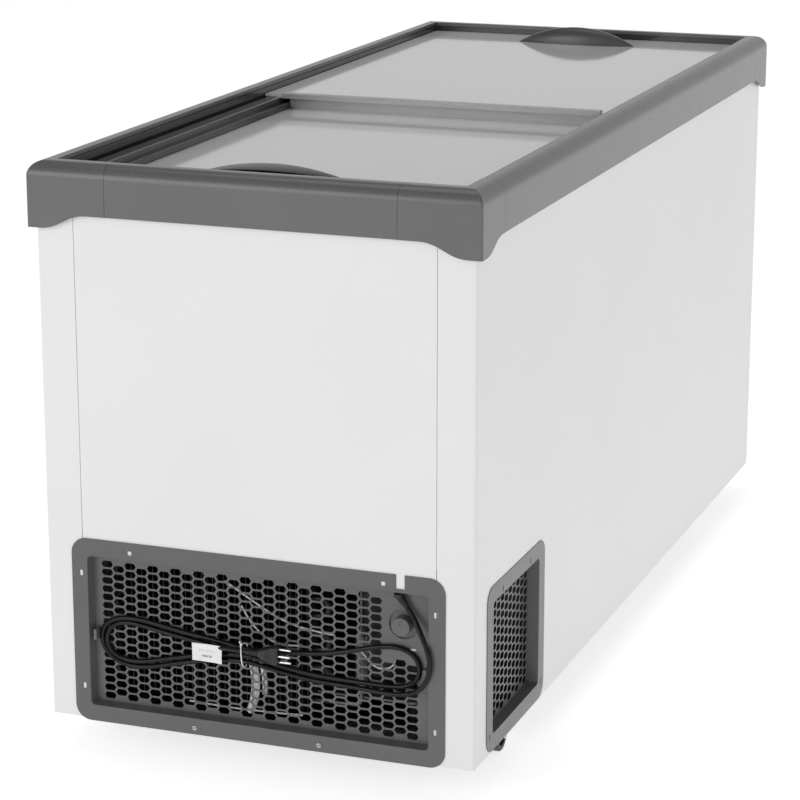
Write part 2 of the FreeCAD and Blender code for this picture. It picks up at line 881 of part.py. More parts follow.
foam_block = box("foam_block", (base_x, base_y, "base_level + base_thick"),
                 ("case_length - 2*skin - 2*foam_gap", "case_width - 2*skin - 2*foam_gap",
                  f"{liner_top} - liner_thick - base_level - base_thick"))
foam_rounded = rounded("foam_rounded", foam_block, "foam_radius", lambda point, edge: upright(edge))
compartment = box("compartment_space", ("-case_length/2 - 10", "-case_width", "base_level - 10"),
                  ("divider_face + case_length/2 + 10 + skin", "2*case_width",
                   "divider_top - base_level + 10"))
foam_drain = cylinder("foam_drain_hole", ("drain_x", "drain_y", "base_level"), "drain_foam_hole",
                      "tub_floor - base_level + 10")
keep(cut("foam_cut", foam_rounded, [tub_outside, compartment, foam_drain, coil]), "insulation_foam")

divider_width = "case_width - 2*skin - 2*foam_gap"
divider_wall = box("divider_wall", ("divider_face", base_y, "base_level + base_thick"),
                   ("skin", divider_width, "divider_top - base_level - base_thick"))
divider_roof = box("divider_roof", ("-case_length/2 + skin + 5", base_y, "divider_top - skin"),
                   ("divider_face + case_length/2 - 5", divider_width, "skin"))
keep(fuse("divider", [divider_wall, divider_roof]), "compartment_divider")

spout_tube = cylinder("spout_tube", ("drain_x", "drain_y", "base_level - drain_drop"), "drain_outer",
                      "tub_floor - liner_thick - base_level + drain_drop")
spout_bore = cylinder("spout_bore", ("drain_x", "drain_y", "case_bottom"), "drain_bore", "80")
keep(cut("drain_spout_cut", spout_tube, [spout_bore]), "drain_spout")
plug_stem = cone("plug_stem", ("drain_x", "drain_y", "tub_floor + drain_seat - drain_stem_length"),
                 "drain_stem_low", "drain_stem_high", "drain_stem_length")
plug_head = cylinder("plug_head", ("drain_x", "drain_y", "tub_floor + drain_seat"), "drain_cap_radius",
                     "drain_cap_thick")
plug_pull = cylinder("plug_pull", ("drain_x", "drain_y", "tub_floor + drain_seat + drain_cap_thick"),
                     "drain_pull_radius", "drain_pull_height")
keep(fuse("drain_plug_body", [plug_stem, plug_head, plug_pull]), "drain_plug")


# ---------------------------------------------------------------- glass lids

slide_half_upper = "(case_width/2 + rim_overhang - upper_inset)"
slide_half_lower = "(case_width/2 + rim_overhang - lower_inset)"
clear_shelf = "(case_width/2 + rim_overhang - shelf_inset - 0.5)"
clear_ledge = "(case_width/2 + rim_overhang - ledge_inset - 0.8)"
clear_mouth = "(case_width/2 + rim_overhang - mouth_inset - 0.8)"

keep(box("upper_glass", ("upper_start + clip_web", f"-{slide_half_upper}",
                         "upper_glass - glass_thick"),
         ("upper_length - clip_web", f"2*{slide_half_upper}", "glass_thick")), "upper_lid_glass")
profile_bar = box("profile_bar", ("upper_start", f"-{clear_shelf}", "profile_low"),
                  ("profile_depth", f"2*{clear_shelf}", "profile_high - profile_low"))
doc.recompute()
profile_soft = rounded("profile_soft", profile_bar, "clip_wall/2",
                       lambda point, edge: abs(edge.tangentAt(0).y) > 0.99 and point.z > 875)
profile_slot = box("profile_slot", ("upper_start + clip_web", "-case_width/2",
                                    "upper_glass - glass_thick"),
                   ("profile_depth", "case_width", "glass_thick"))
keep(cut("profile_cut", profile_soft, [profile_slot]), "upper_lid_profile")

keep(box("lower_glass", ("lower_start", f"-{slide_half_lower}", "lower_glass - glass_thick"),
         ("lower_length - clip_web", f"2*{slide_half_lower}", "glass_thick")), "lower_lid_glass")
riser_start = "lower_start + lower_length - riser_depth"
riser_clip = box("riser_clip", (riser_start, f"-{clear_mouth}", "riser_low"),
                 ("riser_depth", f"2*{clear_mouth}", "lower_glass + clip_wall - riser_low"))
riser_wall = box("riser_wall", (riser_start, f"-{clear_ledge}", "lower_glass + clip_wall"),
                 ("clip_web", f"2*{clear_ledge}", "riser_high - lower_glass - clip_wall"))
riser_cap = box("riser_cap", (riser_start, f"-{clear_ledge}", "riser_high - clip_wall"),
                ("riser_depth", f"2*{clear_ledge}", "clip_wall"))
riser_slot = box("riser_slot", ("lower_start", "-case_width/2", "lower_glass - glass_thick"),
                 ("lower_length - clip_web", "case_width", "glass_thick"))
riser_solid = fuse("riser_solid", [riser_clip, riser_wall, riser_cap])
keep(cut("riser_cut", riser_solid, [riser_slot]), "lower_lid_riser")


def handle_section(place_along, height, scale):
    """One closed cross-section: a closed back towards -X, a peak over the fingers towards +X, and a
    glued foot, all scaled about the chord that joins the handle's pointed ends."""
    back = size("handle_back")
    peak = size("handle_peak")
    lip = size("handle_lip_angle")
    thin = 1 - size("handle_wall") / height
    foot = size("handle_foot")
    quarter = [(-back * math.cos(math.radians(angle)), height * math.sin(math.radians(angle)))
               for angle in (0, 22, 45, 68)]
    hood = [(peak * math.sin(math.radians(lip * part)), height * math.cos(math.radians(lip * part)))
            for part in (0, 0.33, 0.67, 1)]
    outer = quarter + hood
    inner = [(x * thin, z * thin) for x, z in reversed(outer)]
    inner[-1] = (inner[-1][0], foot)

    def spot(point):
        return Vector(point[0] * scale, place_along, point[1] * scale)

    def spline(points):
        curve = Part.BSplineCurve()
        curve.interpolate([spot(point) for point in points])
        return curve.toShape()

    front = size("handle_foot_depth")
    return Part.Wire([spline(outer), Part.makeLine(spot(outer[-1]), spot(inner[0])), spline(inner),
                      Part.makeLine(spot(inner[-1]), spot((front, foot))),
                      Part.makeLine(spot((front, foot)), spot((front, 0))),
                      Part.makeLine(spot((front, 0)), spot(outer[0]))])


def handle_shape(height):
    """A hooded cup pull: sections that shrink along a circular arc towards two pointed ends."""
    half = size("handle_span") / 2
    arc_radius = (height ** 2 + half ** 2) / (2 * height)
    sections = []
    for step in range(-6, 7):
        along = half * math.sin(math.radians(step * 13.7))
        rise = math.sqrt(arc_radius ** 2 - along ** 2) - (arc_radius - height)
        sections.append(handle_section(along, height, rise / height))
    return Part.makeLoft(sections, True, False)


for lid, turn in (("upper", 0), ("lower", 180)):
    handle = feature(f"{lid}_handle", handle_shape(size(f"{lid}_handle_height")))
    place(handle, (f"{lid}_handle_place", f"{lid}_handle_offset", f"{lid}_glass"),
          Rotation(Z_AXIS, turn))
    keep(handle, f"{lid}_lid_handle")


# ---------------------------------------------------------------- perforated grilles

def rounded_wire(left, low, right, high, radius, level):
    """A rectangle with round corners, at a level along the grille's own depth."""
    corners = [(right, low, -90), (right, high, 0), (left, high, 90), (left, low, 180)]
    edges = []
    previous = None
    first = None
    for across, up, start in corners:
        centre = Vector(across - math.copysign(radius, across - (left + right) / 2),
                        up - math.copysign(radius, up - (low + high) / 2), level)
        spots = []
        for angle in (start, start + 45, start + 90):
            turn = math.radians(angle)
            spots.append(centre + Vector(math.cos(turn), math.sin(turn), 0) * radius)
        if previous is not None:
            edges.append(Part.makeLine(previous, spots[0]))
        else:
            first = spots[0]
        edges.append(Part.Arc(*spots).toShape())
        previous = spots[2]
    edges.append(Part.makeLine(previous, first))
    return Part.Wire(edges)


def prism(wire, depth):
    return Part.Face(wire).extrude(Vector(0, 0, depth))


def hexagon_prism(across, up, low, depth):
    tip = size("hole_tip")
    flat = size("hole_flat")
    half = size("hole_half")
    outline = [(-tip, 0), (-flat, -half), (flat, -half), (tip, 0), (flat, half), (-flat, half)]
    spots = [Vector(across + x, up + y, low) for x, y in outline]
    return prism(Part.makePolygon(spots + [spots[0]]), depth)


def grille_shape(width, height, rim, rim_low, rim_high):
    """A flange with a drafted pan pressed into it.  Its own X runs across, Y up and Z inwards; the
    flange's back is at Z = 0."""
    skin = size("skin")
    floor = size("pan_depth") - skin
    draft = size("pan_draft")
    radius = size("pan_corner")
    mouth = (rim, rim_low, width - rim, height - rim_high)

    def ring(grow, level):
        left, low, right, high = mouth
        return rounded_wire(left - grow, low - grow, right + grow, high + grow, radius + grow, level)

    flange = prism(rounded_wire(0, 0, width, height, size("grille_corner"), -skin), skin)
    flange = flange.fuse(Part.makeLoft([ring(skin, -skin / 2), ring(skin - draft, floor)], True, True))
    hollow = Part.makeLoft([ring(0, -2 * skin), ring(0, -skin), ring(-draft, floor - skin)], True, True)
    return flange.cut(hollow)


def hole_columns(columns, rows, first_across, first_up, blank=None):
    """Hexagonal holes; every second column holds one hole fewer and stands half a row higher."""
    holes = []
    low = size("pan_depth") - 4 * size("skin")
    for column in range(columns):
        across = first_across - column * size("hole_pitch")
        odd = column % 2
        for row in range(rows - odd):
            up = first_up + (row + odd / 2) * size("hole_row")
            if blank and column >= columns - blank[0] and up > blank[1]:
                continue
            holes.append(hexagon_prism(across, up, low, 6 * size("skin")))
    return holes


def block(left, low, near_level, width, height, depth):
    return Part.makeBox(width, height, depth, Vector(left, low, near_level))


def machine_grille_shape():
    width = size("grille_width")
    height = size("grille_height")
    left = size("grille_middle - grille_width/2")
    low = size("grille_low")
    shape = grille_shape(width, height, size("grille_rim"), size("grille_rim_low"),
                         size("grille_rim_high"))
    tools = hole_columns(int(size("hole_columns")), int(size("hole_rows")),
                         size("first_column") - left, size("first_row") - low,
                         (int(size("blank_columns")), size("blank_above") - low))
    across = size("slot_width")
    tall = size("slot_height")
    for side in (-1, 1):
        for level in ("slot_low", "slot_high"):
            centre = width / 2 + side * size("slot_across")
            tools.append(block(centre - across / 2, size(level) - low - tall / 2, -5, across, tall, 10))
    square = size("square_side")
    for name in ("square_left", "square_right"):
        tools.append(block(size(name) - left - square / 2, size("square_level") - low - square / 2, -5,
                           square, square, 10))
    notch = size("notch_width")
    tools.append(block(size("notch_across") - left - notch / 2, height - size("notch_depth"), -5,
                       notch, size("notch_depth") + 5, 5.1))
    for name in ("screw_left", "screw_right"):
        spot = Vector(size(name) - left, size("screw_level") - low, -5)
        tools.append(Part.makeCylinder(size("screw_radius + 0.1"), 10, spot))
    tools.append(block(size("hook_across") - left, size("hook_level") - low, 10, 9, 3.5, 10))
    knob = Vector(size("knob_across") - left, size("knob_level") - low, 0)
    dish_front = size("pan_depth - 2*skin")
    tools.append(Part.makeCylinder(size("dish_radius"), 10, knob + Vector(0, 0, dish_front - 5)))
    shape = shape.cut(Part.makeCompound(tools))
    cup_height = size("dish_depth + skin")
    cup = Part.makeCylinder(size("dish_radius + skin"), cup_height, knob + Vector(0, 0, dish_front))
    cup = cup.cut(Part.makeCylinder(size("dish_radius"), size("dish_depth"),
                                    knob + Vector(0, 0, dish_front)))
    cup = cup.cut(Part.makeCylinder(size("knob_shaft + 1"), 20, knob))
    lugs = [block(size("lug_left") - left, size("lug_level") - low, dish_front - 16, 4.5, 16, 16.5),
            block(size("lug_right") - left, size("lug_level") - low, dish_front - 11, 6, 16, 11.5)]
    return shape.fuse([cup] + lugs)


END_TURN = Rotation(Y_AXIS, Z_AXIS, X_AXIS, "ZXY")
machine_grille = feature("machine_grille_sheet", machine_grille_shape())
place(machine_grille, ("-case_length/2", "grille_middle - grille_width/2", "grille_low"), END_TURN)
keep(machine_grille, "machine_grille")


def side_grille_shape():
    width = size("side_grille_width")
    height = size("side_grille_height")
    columns = int(size("side_columns"))
    rows = int(size("side_rows"))
    shape = grille_shape(width, height, size("grille_rim + 2"), size("grille_rim_low"),
                         size("grille_rim_low"))
    tools = hole_columns(columns, rows, width / 2 + (columns - 1) / 2 * size("hole_pitch"),
                         height / 2 - (rows - 1) / 2 * size("hole_row"))
    for across, up in ((0.26, 0.93), (0.74, 0.93), (0.05, 0.1), (0.95, 0.1)):
        tools.append(block(width * across - 1.5, height * up - 4.5, -5, 3, 9, 10))
    return shape.cut(Part.makeCompound(tools))


side_grille = feature("side_grille_sheet", side_grille_shape())
place(side_grille, ("-case_length/2 + side_grille_start + side_grille_width", "-case_width/2",
                    "side_grille_low"), Rotation(-X_AXIS, Z_AXIS, Y_AXIS, "ZXY"))
keep(side_grille, "side_grille")

screws = []
for name in ("screw_left", "screw_right"):
    head = cylinder(name + "_head", ("-case_length/2 - skin - screw_head_length", name, "screw_level"),
                    "screw_head", "screw_head_length", X_AXIS)
    shank = cylinder(name + "_shank", ("-case_length/2 - skin - 1", name, "screw_level"),
                     "screw_radius", "screw_length", X_AXIS)
    screws.append(fuse(name + "_solid", [head, shank]))
keep(group("screw_group", screws), "grille_screws")


# ---------------------------------------------------------------- thermostat

knob_form = turned_body("knob_form", [("0", "0"), ("knob_radius", "0"), ("knob_radius", "knob_height"),
                                      ("0", "knob_height")])
round_body(knob_form, "knob_rim", "tread_edge",
           lambda point, edge: point.z > size("knob_height") - 0.1 and edge.Length > 20)
place(knob_form, ("knob_face + knob_height", "knob_across", "knob_level"), Rotation(Z_AXIS, -X_AXIS))
knob_stem = cylinder("knob_stem", ("knob_face + knob_height - 1", "knob_across", "knob_level"),
                     "knob_shaft", "18", X_AXIS)
knob_whole = fuse("knob_whole", [knob_form, knob_stem])
knob_mark = box("knob_mark", ("knob_face - 1", "knob_across - knob_mark_width/2",
                              "knob_level + knob_radius - knob_mark_length - 3"),
                ("1 + knob_mark_depth", "knob_mark_width", "knob_mark_length"))
keep(cut("knob_cut", knob_whole, [knob_mark]), "thermostat_knob")
thermostat_front = "-case_length/2 + pan_depth + dish_depth + 0.2"
thermostat_case = box("thermostat_case", (thermostat_front, "knob_across - thermostat_side/2",
                                          "knob_level - thermostat_side/2"),
                      ("thermostat_deep", "thermostat_side", "thermostat_side"))
thermostat_bore = cylinder("thermostat_bore", ("knob_face", "knob_across", "knob_level"),
                           "knob_shaft + running_gap", "40", X_AXIS)
keep(cut("thermostat_cut", thermostat_case, [thermostat_bore]), "thermostat_body")


# ---------------------------------------------------------------- casters

# Side view of one fork arm: how far along from the kingpin, and the height above the floor.
CASTER_ARM = [("-13", "crown_level - crown_thick + 1"), ("-31", "45"), ("-37", "28"), ("-24", "18.5"),
              ("8", "46"), ("13", "crown_level - crown_thick + 1")]


def caster(end, side):
    """Fork and wheel of one caster, trailing towards the machine end."""
    tag = f"{side}_{end}"
    centre_x = "-caster_x" if end == "machine" else "caster_x"
    reach = "caster_y" if end == "machine" else "caster_y_plain"
    centre_y = f"-{reach}" if side == "front" else reach
    axle_x = f"{centre_x} - caster_trail"
    crown_low = "crown_level - crown_thick"
    arms = []
    for hand, offset in (("near", "-wheel_width/2 - fork_gap"),
                         ("far", "wheel_width/2 + fork_gap + fork_thick")):
        arm = padded_body(f"arm_{hand}_{tag}", "XZ_Plane", CASTER_ARM, "fork_thick")
        place(arm, (centre_x, f"{centre_y} + {offset}", "0"))
        arms.append(arm)
    boss_length = "wheel_width + 2*fork_gap + 2*fork_thick"
    low_y = f"{centre_y} - wheel_width/2 - fork_gap - fork_thick"
    crown = cylinder(f"crown_{tag}", (centre_x, centre_y, crown_low), "crown_radius", "crown_thick")
    king = cylinder(f"king_{tag}", (centre_x, centre_y, crown_low), "king_radius",
                    "base_level - crown_level + crown_thick - 1")
    axle = cylinder(f"axle_{tag}", (axle_x, low_y + " - rivet_length", "wheel_radius"), "axle_radius",
                    boss_length + " + 2*rivet_length", Y_AXIS)
    rivets = [cylinder(f"rivet_{hand}_{tag}", (axle_x, f"{low_y} + {offset}", "wheel_radius"),
                       "axle_radius + 2", "rivet_length", Y_AXIS)
              for hand, offset in (("near", "-rivet_length"), ("far", boss_length))]
    keep(fuse(f"fork_{tag}", arms + [crown, king, axle] + rivets), f"caster_fork_{tag}")

    wheel = turned_body(f"wheel_{tag}", [
        ("axle_radius + running_gap", "0"), ("hub_radius", "0"), ("hub_radius", "web_recess"),
        ("web_radius", "web_recess"), ("web_radius", "0"), ("wheel_radius - tread_edge", "0"),
        ("wheel_radius", "tread_edge"), ("wheel_radius", "wheel_width - tread_edge"),
        ("wheel_radius - tread_edge", "wheel_width"), ("web_radius", "wheel_width"),
        ("web_radius", "wheel_width - web_recess"), ("hub_radius", "wheel_width - web_recess"),
        ("hub_radius", "wheel_width"), ("axle_radius + running_gap", "wheel_width")])
    place(wheel, (axle_x, f"{centre_y} - wheel_width/2", "wheel_radius"), Rotation(Z_AXIS, Y_AXIS))
    keep(wheel, f"caster_wheel_{tag}")

    plate = box(f"plate_{tag}", (f"{centre_x} - plate_size/2", f"{centre_y} - plate_size/2",
                                 "base_level - plate_thick"), ("plate_size", "plate_size", "plate_thick"))
    race = cylinder(f"race_{tag}", (centre_x, centre_y, "base_level - plate_thick - race_height"),
                    "race_radius", "race_height")
    bore = cylinder(f"bore_{tag}", (centre_x, centre_y, "case_bottom"), "king_radius + running_gap", "30")
    return cut(f"seat_{tag}", fuse(f"seat_solid_{tag}", [plate, race]), [bore])


seats = [caster(end, side) for end in ("machine", "plain") for side in ("front", "rear")]
keep(group("caster_seats", seats), "caster_plates")


# ---------------------------------------------------------------- compressor

seam_radius = "compressor_radius + shell_seam_reach"
seam_high = "shell_seam + shell_seam_height"
shell_outline = [("0", "0"), ("compressor_radius*0.72", "0"), ("compressor_radius*0.93", "shell_foot"),
                 ("compressor_radius", "shell_side_low"), ("compressor_radius", "shell_seam"),
                 (seam_radius, "shell_seam"), (seam_radius, seam_high), ("compressor_radius", seam_high),
                 ("compressor_radius", "compressor_height - shell_shoulder"),
                 ("compressor_radius*0.9", "compressor_height - shell_crown"),
                 ("compressor_radius*0.7", "compressor_height"), ("0", "compressor_height")]
shell = turned_body("compressor_shell", shell_outline)
place(shell, ("compressor_x", "compressor_y", "compressor_seat"))
keep(shell, "compressor")
mount_low = "compressor_seat - mount_thick"
mount = box("mount_plate", ("compressor_x - mount_half", "compressor_y - mount_half", mount_low),
            ("2*mount_half", "2*mount_half", "mount_thick"))
doc.recompute()
keep(rounded("mount_rounded", mount, "grommet_radius", lambda point, edge: upright(edge)),
     "compressor_mount")
grommets = []
for number, (along, across) in enumerate(((-1, -1), (-1, 1), (1, -1), (1, 1)), start=1):
    spot = (f"compressor_x + {along}*(mount_half - 1.4*grommet_radius)",
            f"compressor_y + {across}*(mount_half - 1.4*grommet_radius)", "base_level + base_thick")
    grommets.append(cylinder(f"grommet_{number}", spot, "grommet_radius",
                             "compressor_seat - mount_thick - base_level - base_thick"))
keep(group("grommets", grommets), "compressor_grommets")
terminal_block = box("terminal_block", ("compressor_x - terminal_width/2",
                                        "compressor_y + compressor_radius - terminal_bite",
                                        "compressor_seat + terminal_rise"),
                     ("terminal_width", "terminal_deep", "terminal_height"))
keep(cut("terminal_cut", terminal_block, [shell]), "compressor_terminal_cover")


# ---------------------------------------------------------------- condenser, fan and pipes

def condenser_run():
    across_low = size("condenser_right")
    across_high = size("condenser_left")
    points = [Vector(size("condenser_x"), across_low, size("condenser_low"))]
    for index in range(int(size("condenser_rows"))):
        level = size("condenser_low") + index * size("condenser_pitch")
        turn_at = across_high if index % 2 == 0 else across_low
        if index:
            points.append(Vector(size("condenser_x"), across_low if index % 2 == 0 else across_high,
                                 level))
        if index == int(size("condenser_rows")) - 1:
            turn_at = across_low
        points.append(Vector(size("condenser_x"), turn_at, level))
    return tube_path(points, size("condenser_pipe"), radii=size("condenser_pitch") / 2 - 0.1)


keep(feature("condenser_pipe_run", condenser_run()), "condenser_coil")


def condenser_fin_stack():
    deep = size("condenser_deep")
    low = size("condenser_low - condenser_pitch/2")
    tall = size("condenser_rows*condenser_pitch")
    thick = size("fin_thick")
    margin = size("condenser_pitch")
    across = size("condenser_right") + margin
    pitch = (size("condenser_left") - margin - across) / (size("fin_count") - 1)
    fin = Part.makeBox(deep, thick, tall, Vector(size("condenser_x") - deep / 2, 0, low))
    holes = [Part.makeCylinder(size("condenser_pipe/2 + fin_gap"), 10 * thick,
                               Vector(size("condenser_x"), -5 * thick,
                                      size("condenser_low") + index * size("condenser_pitch")), Y_AXIS)
             for index in range(int(size("condenser_rows")))]
    fin = fin.cut(Part.makeCompound(holes))
    fins = []
    for index in range(int(size("fin_count"))):
        copy = fin.copy()
        copy.translate(Vector(0, across + index * pitch - thick / 2, 0))
        fins.append(copy)
    return Part.makeCompound(fins)


keep(feature("condenser_fin_stack", condenser_fin_stack()), "condenser_fins")

shroud_half = "(shroud_bore + shroud_margin)"
shroud_plate = box("shroud_plate", ("shroud_face", f"fan_y - {shroud_half}", f"fan_z - {shroud_half}"),
                   ("shroud_wall", f"2*{shroud_half}", f"2*{shroud_half}"))
shroud_ring = cylinder("shroud_ring", ("shroud_face", "fan_y", "fan_z"), "shroud_bore + shroud_wall",
                       "shroud_end - shroud_face", X_AXIS)
shroud_air = cylinder("shroud_air", ("shroud_face - 5", "fan_y", "fan_z"), "shroud_bore",
                      "shroud_end - shroud_face + 10", X_AXIS)
shroud_solid = fuse("shroud_solid", [shroud_plate, shroud_ring])
keep(cut("shroud_cut", shroud_solid, [shroud_air]), "fan_shroud")

motor_can = cylinder("motor_can", ("shroud_end + motor_gap", "fan_y", "fan_z"), "motor_radius",
                     "motor_length", X_AXIS)
motor_bar = box("motor_bar", ("shroud_end", "fan_y - shroud_bore - shroud_wall",
                              "fan_z - motor_bar_height/2"),
                ("motor_gap", "2*shroud_bore + 2*shroud_wall", "motor_bar_height"))
motor_spindle = cylinder("motor_spindle", ("fan_plane - fan_hub_length/2 + 1", "fan_y", "fan_z"),
                         "motor_shaft", "shroud_end - fan_plane + fan_hub_length/2 + motor_gap", X_AXIS)
keep(fuse("motor_solid", [motor_can, motor_bar, motor_spindle]), "fan_motor")


def fan_wheel():
    hub_length = size("fan_hub_length")
    centre = Vector(size("fan_plane") - hub_length / 2, size("fan_y"), size("fan_z"))
    hub = Part.makeCylinder(size("fan_hub"), hub_length, centre, X_AXIS)
    chord = size("fan_chord")
    thick = size("fan_thick")
    root = size("fan_hub") - 3
    blades = []
    for number in range(int(size("fan_blades"))):
        blade = Part.makeBox(thick, chord, size("fan_radius") - root,
                             Vector(-thick / 2, -chord / 2, root))
        blade.rotate(Vector(0, 0, 0), Z_AXIS, size("fan_pitch_angle"))
        blade.rotate(Vector(0, 0, 0), X_AXIS, 360 * number / size("fan_blades"))
        blade.translate(Vector(size("fan_plane"), size("fan_y"), size("fan_z")))
        blades.append(blade)
    sweep = Part.makeCylinder(size("fan_radius"), 60, Vector(size("fan_plane") - 30, size("fan_y"),
                                                             size("fan_z")), X_AXIS)
    wheel = hub.fuse(blades).common(sweep)
    bore = Part.makeCylinder(size("motor_shaft + running_gap"), 60, centre - X_AXIS * 20, X_AXIS)
    return wheel.cut(bore)


keep(feature("fan_wheel", fan_wheel()), "fan_blade")

drier_neck = "drier_length - 12"
drier = turned_body("drier_form", [("0", "0"), ("capillary + 1", "0"), ("drier_radius", "12"),
                                   ("drier_radius", drier_neck), ("capillary", "drier_length"),
                                   ("0", "drier_length")])
place(drier, ("condenser_x", "condenser_right - drier_offset", "condenser_low + drier_rise"))
keep(drier, "filter_drier")


def pipe_runs():
    """Discharge, liquid, capillary and suction lines, as separate lengths of pipe."""
    condenser_x = size("condenser_x")
    right = size("condenser_right")
    low = size("condenser_low")
    high = low + (size("condenser_rows") - 1) * size("condenser_pitch")
    deck = size("compressor_seat + compressor_height")
    rise = deck + size("discharge_rise")
    discharge_x = size("discharge_x")
    discharge_y = right - size("discharge_offset")
    drier_y = right - size("drier_offset")
    drier_low = low + size("drier_rise")
    drier_top = drier_low + size("drier_length")
    ceiling = size("divider_top - 2*skin")
    suction_x = size("suction_x")
    suction_y = size("suction_y")
    suction_top = deck + size("suction_rise")
    discharge = [(discharge_x, discharge_y, deck), (discharge_x, discharge_y, rise),
                 (condenser_x, discharge_y, rise), (condenser_x, discharge_y, high),
                 (condenser_x, right, high)]
    liquid = [(condenser_x, right, low), (condenser_x, drier_y, low), (condenser_x, drier_y, drier_low)]
    capillary = [(condenser_x, drier_y, drier_top),
                 (condenser_x, drier_y, drier_top + size("capillary_rise")),
                 (condenser_x + size("capillary_drift"), drier_y, ceiling)]
    suction = [(suction_x, suction_y, deck), (suction_x, suction_y, suction_top),
               (size("divider_face"), suction_y, suction_top)]
    runs = []
    for points, width in ((discharge, "pipe"), (liquid, "pipe"), (capillary, "capillary"),
                          (suction, "pipe")):
        spots = [Vector(*point) for point in points]
        bend = "pipe_bend" if width == "pipe" else "capillary_bend"
        runs.append(tube_path(spots, size(width), radii=size(bend)))
    return Part.makeCompound(runs)


keep(feature("pipe_set", pipe_runs()), "refrigerant_pipes")


# ---------------------------------------------------------------- power cord, as tied up for delivery

# Route of the loose stretch from the gland's tip to the hank: how far across the end from the front
# edge of the case, and the height above the case's bottom edge, and the depth.
LEAD_ROUTE = [
    (-824.5, 104.5, 231.5), (-824.5, 95.0, 218.83), (-829.2, 86.2, 205.5), (-834.2, 77.5, 191.5),
    (-837.3, 69.0, 175.5), (-838.0, 64.5, 157.5), (-837.5, 66.0, 139.5), (-835.4, 72.5, 123.0),
    (-830.5, 83.0, 110.5),
]
# Outline of the tied hank: two loops that the tie pinches in the middle.
HANK_OUTLINE = [
    (351, 141), (392, 146), (433, 150), (470, 155), (508, 161), (548, 161), (576, 151), (586, 129),
    (578, 104), (558, 89), (534, 82), (505, 85), (470, 95), (430, 104), (389, 113), (351, 114),
    (316, 109), (286, 103), (250, 98), (212, 97), (177, 96), (146, 95), (115, 99), (92, 107),
    (83, 122), (86, 150), (108, 167), (138, 169), (169, 163), (200, 154), (240, 146), (300, 142),
]


def on_end(across, up, depth):
    """A point beside the machine end, from its place across the end and above the case's bottom."""
    return Vector(depth, across - size("case_width/2"), up + size("case_bottom"))


lead_points = [on_end(across, up, depth) for depth, across, up in LEAD_ROUTE]
keep(feature("lead_tube", tube_path(lead_points, size("cord_width"), report="cord_lead")), "cord_lead")


def hank_solid():
    spots = [on_end(across, up, size("hank_back")) for across, up in HANK_OUTLINE]
    curve = Part.BSplineCurve()
    curve.interpolate(spots, PeriodicFlag=True)
    face = Part.Face(Part.Wire(curve.toShape()))
    return face.extrude(Vector(size("hank_front - hank_back"), 0, 0))


hank = keep(feature("hank_form", hank_solid()), "cord_hank")

gland_way = lead_points[1] - lead_points[0]
gland_way.normalize()
gland_base = lead_points[0] - gland_way * size("gland_length")
gland_cone = cone("gland_cone", [str(part) for part in gland_base], "gland_root", "gland_tip",
                  "gland_length", gland_way)
gland_collar = cylinder("gland_collar", (str(gland_base.x), str(gland_base.y), "gland_collar_low"),
                        "gland_collar_radius", "gland_collar_height")
gland_trim = box("gland_trim", ("-case_length", "-case_width", "gland_collar_low + gland_collar_height"),
                 ("case_length", "case_width", "50"))
keep(cut("gland_cut", fuse("gland_solid", [gland_cone, gland_collar]), [gland_trim]), "cord_gland")

plug_x = "(hank_front - plug_out)"
plug_z = "(case_bottom + plug_up)"
plug_face = "(plug_across - case_width/2)"
# Cross-sections of the plug from its face back: along, half height, half depth, corner radius.
PLUG_SECTIONS = [(0, 14.5, 8.3, 5), (9, 14.2, 8.3, 5), (24, 10, 7.2, 4.5), (33, 5.8, 5.8, 4.4)]
PLUG_TAIL = 5.6


def plug_section(across, half_height, half_depth, radius):
    """A rounded cross-section of the plug, square to its length."""
    left = size(plug_x) - half_depth
    low = size(plug_z) - half_height
    wire = rounded_wire(left, low, left + 2 * half_depth, low + 2 * half_height, radius, 0)
    turn = FreeCAD.Matrix()
    turn.A22 = 0
    turn.A23 = 1
    turn.A32 = 1
    turn.A33 = 0
    wire = wire.transformGeometry(turn)
    wire.translate(Vector(0, size(plug_face) + across, 0))
    return wire


def plug_solid():
    head = Part.makeLoft([plug_section(*section) for section in PLUG_SECTIONS], True, False)
    tail_start = size(plug_face) + PLUG_SECTIONS[-1][0] - 1
    tail = Part.makeCone(PLUG_TAIL, size("gland_tip"), size("plug_tail"),
                         Vector(size(plug_x), tail_start, size(plug_z)), Y_AXIS)
    return head.fuse(tail).removeSplitter()


plug_body = feature("plug_moulding", plug_solid())
pins = [cylinder(f"plug_pin_{name}", (f"{plug_x} - {out}", f"{plug_face} - pin_length",
                                      f"{plug_z} + {up}"),
                 "pin_radius", "pin_length + pin_root", Y_AXIS)
        for name, up, out in (("line", "pin_spread", "0"), ("neutral", "-pin_spread", "0"),
                              ("earth", "0", "earth_out"))]
keep(fuse("plug_whole", [plug_body] + pins), "cord_plug")

keep(box("tag_plate", ("hank_front - tag_thick", "tag_across - case_width/2", "case_bottom + tag_up"),
         ("tag_thick", "tag_width", "tag_height")), "cord_tag")
tie_band = box("tie_band", ("hank_front - tie_thick", "tie_across - case_width/2",
                            "case_bottom + tie_up"),
               ("hank_back - hank_front + tie_thick", "tie_width", "tie_height"))
keep(cut("tie_cut", tie_band, [hank]), "cord_tie")


# ---------------------------------------------------------------- checks, then one file per piece

doc.recompute()
for item in doc.Objects:
    if "Invalid" in item.State or "Error" in item.State:
        raise RuntimeError(f"{item.Label} is {item.State}")
for node, item in PIECES.items():
    shape = item.Shape
    if shape.isNull() or not shape.isValid() or not shape.Solids:
        raise RuntimeError(f"{node} has no valid solid")
os.makedirs("parts", exist_ok=True)
for node, item in PIECES.items():
    item.Shape.exportStep(f"parts/{node}.step")
print(len(PIECES), "pieces written")
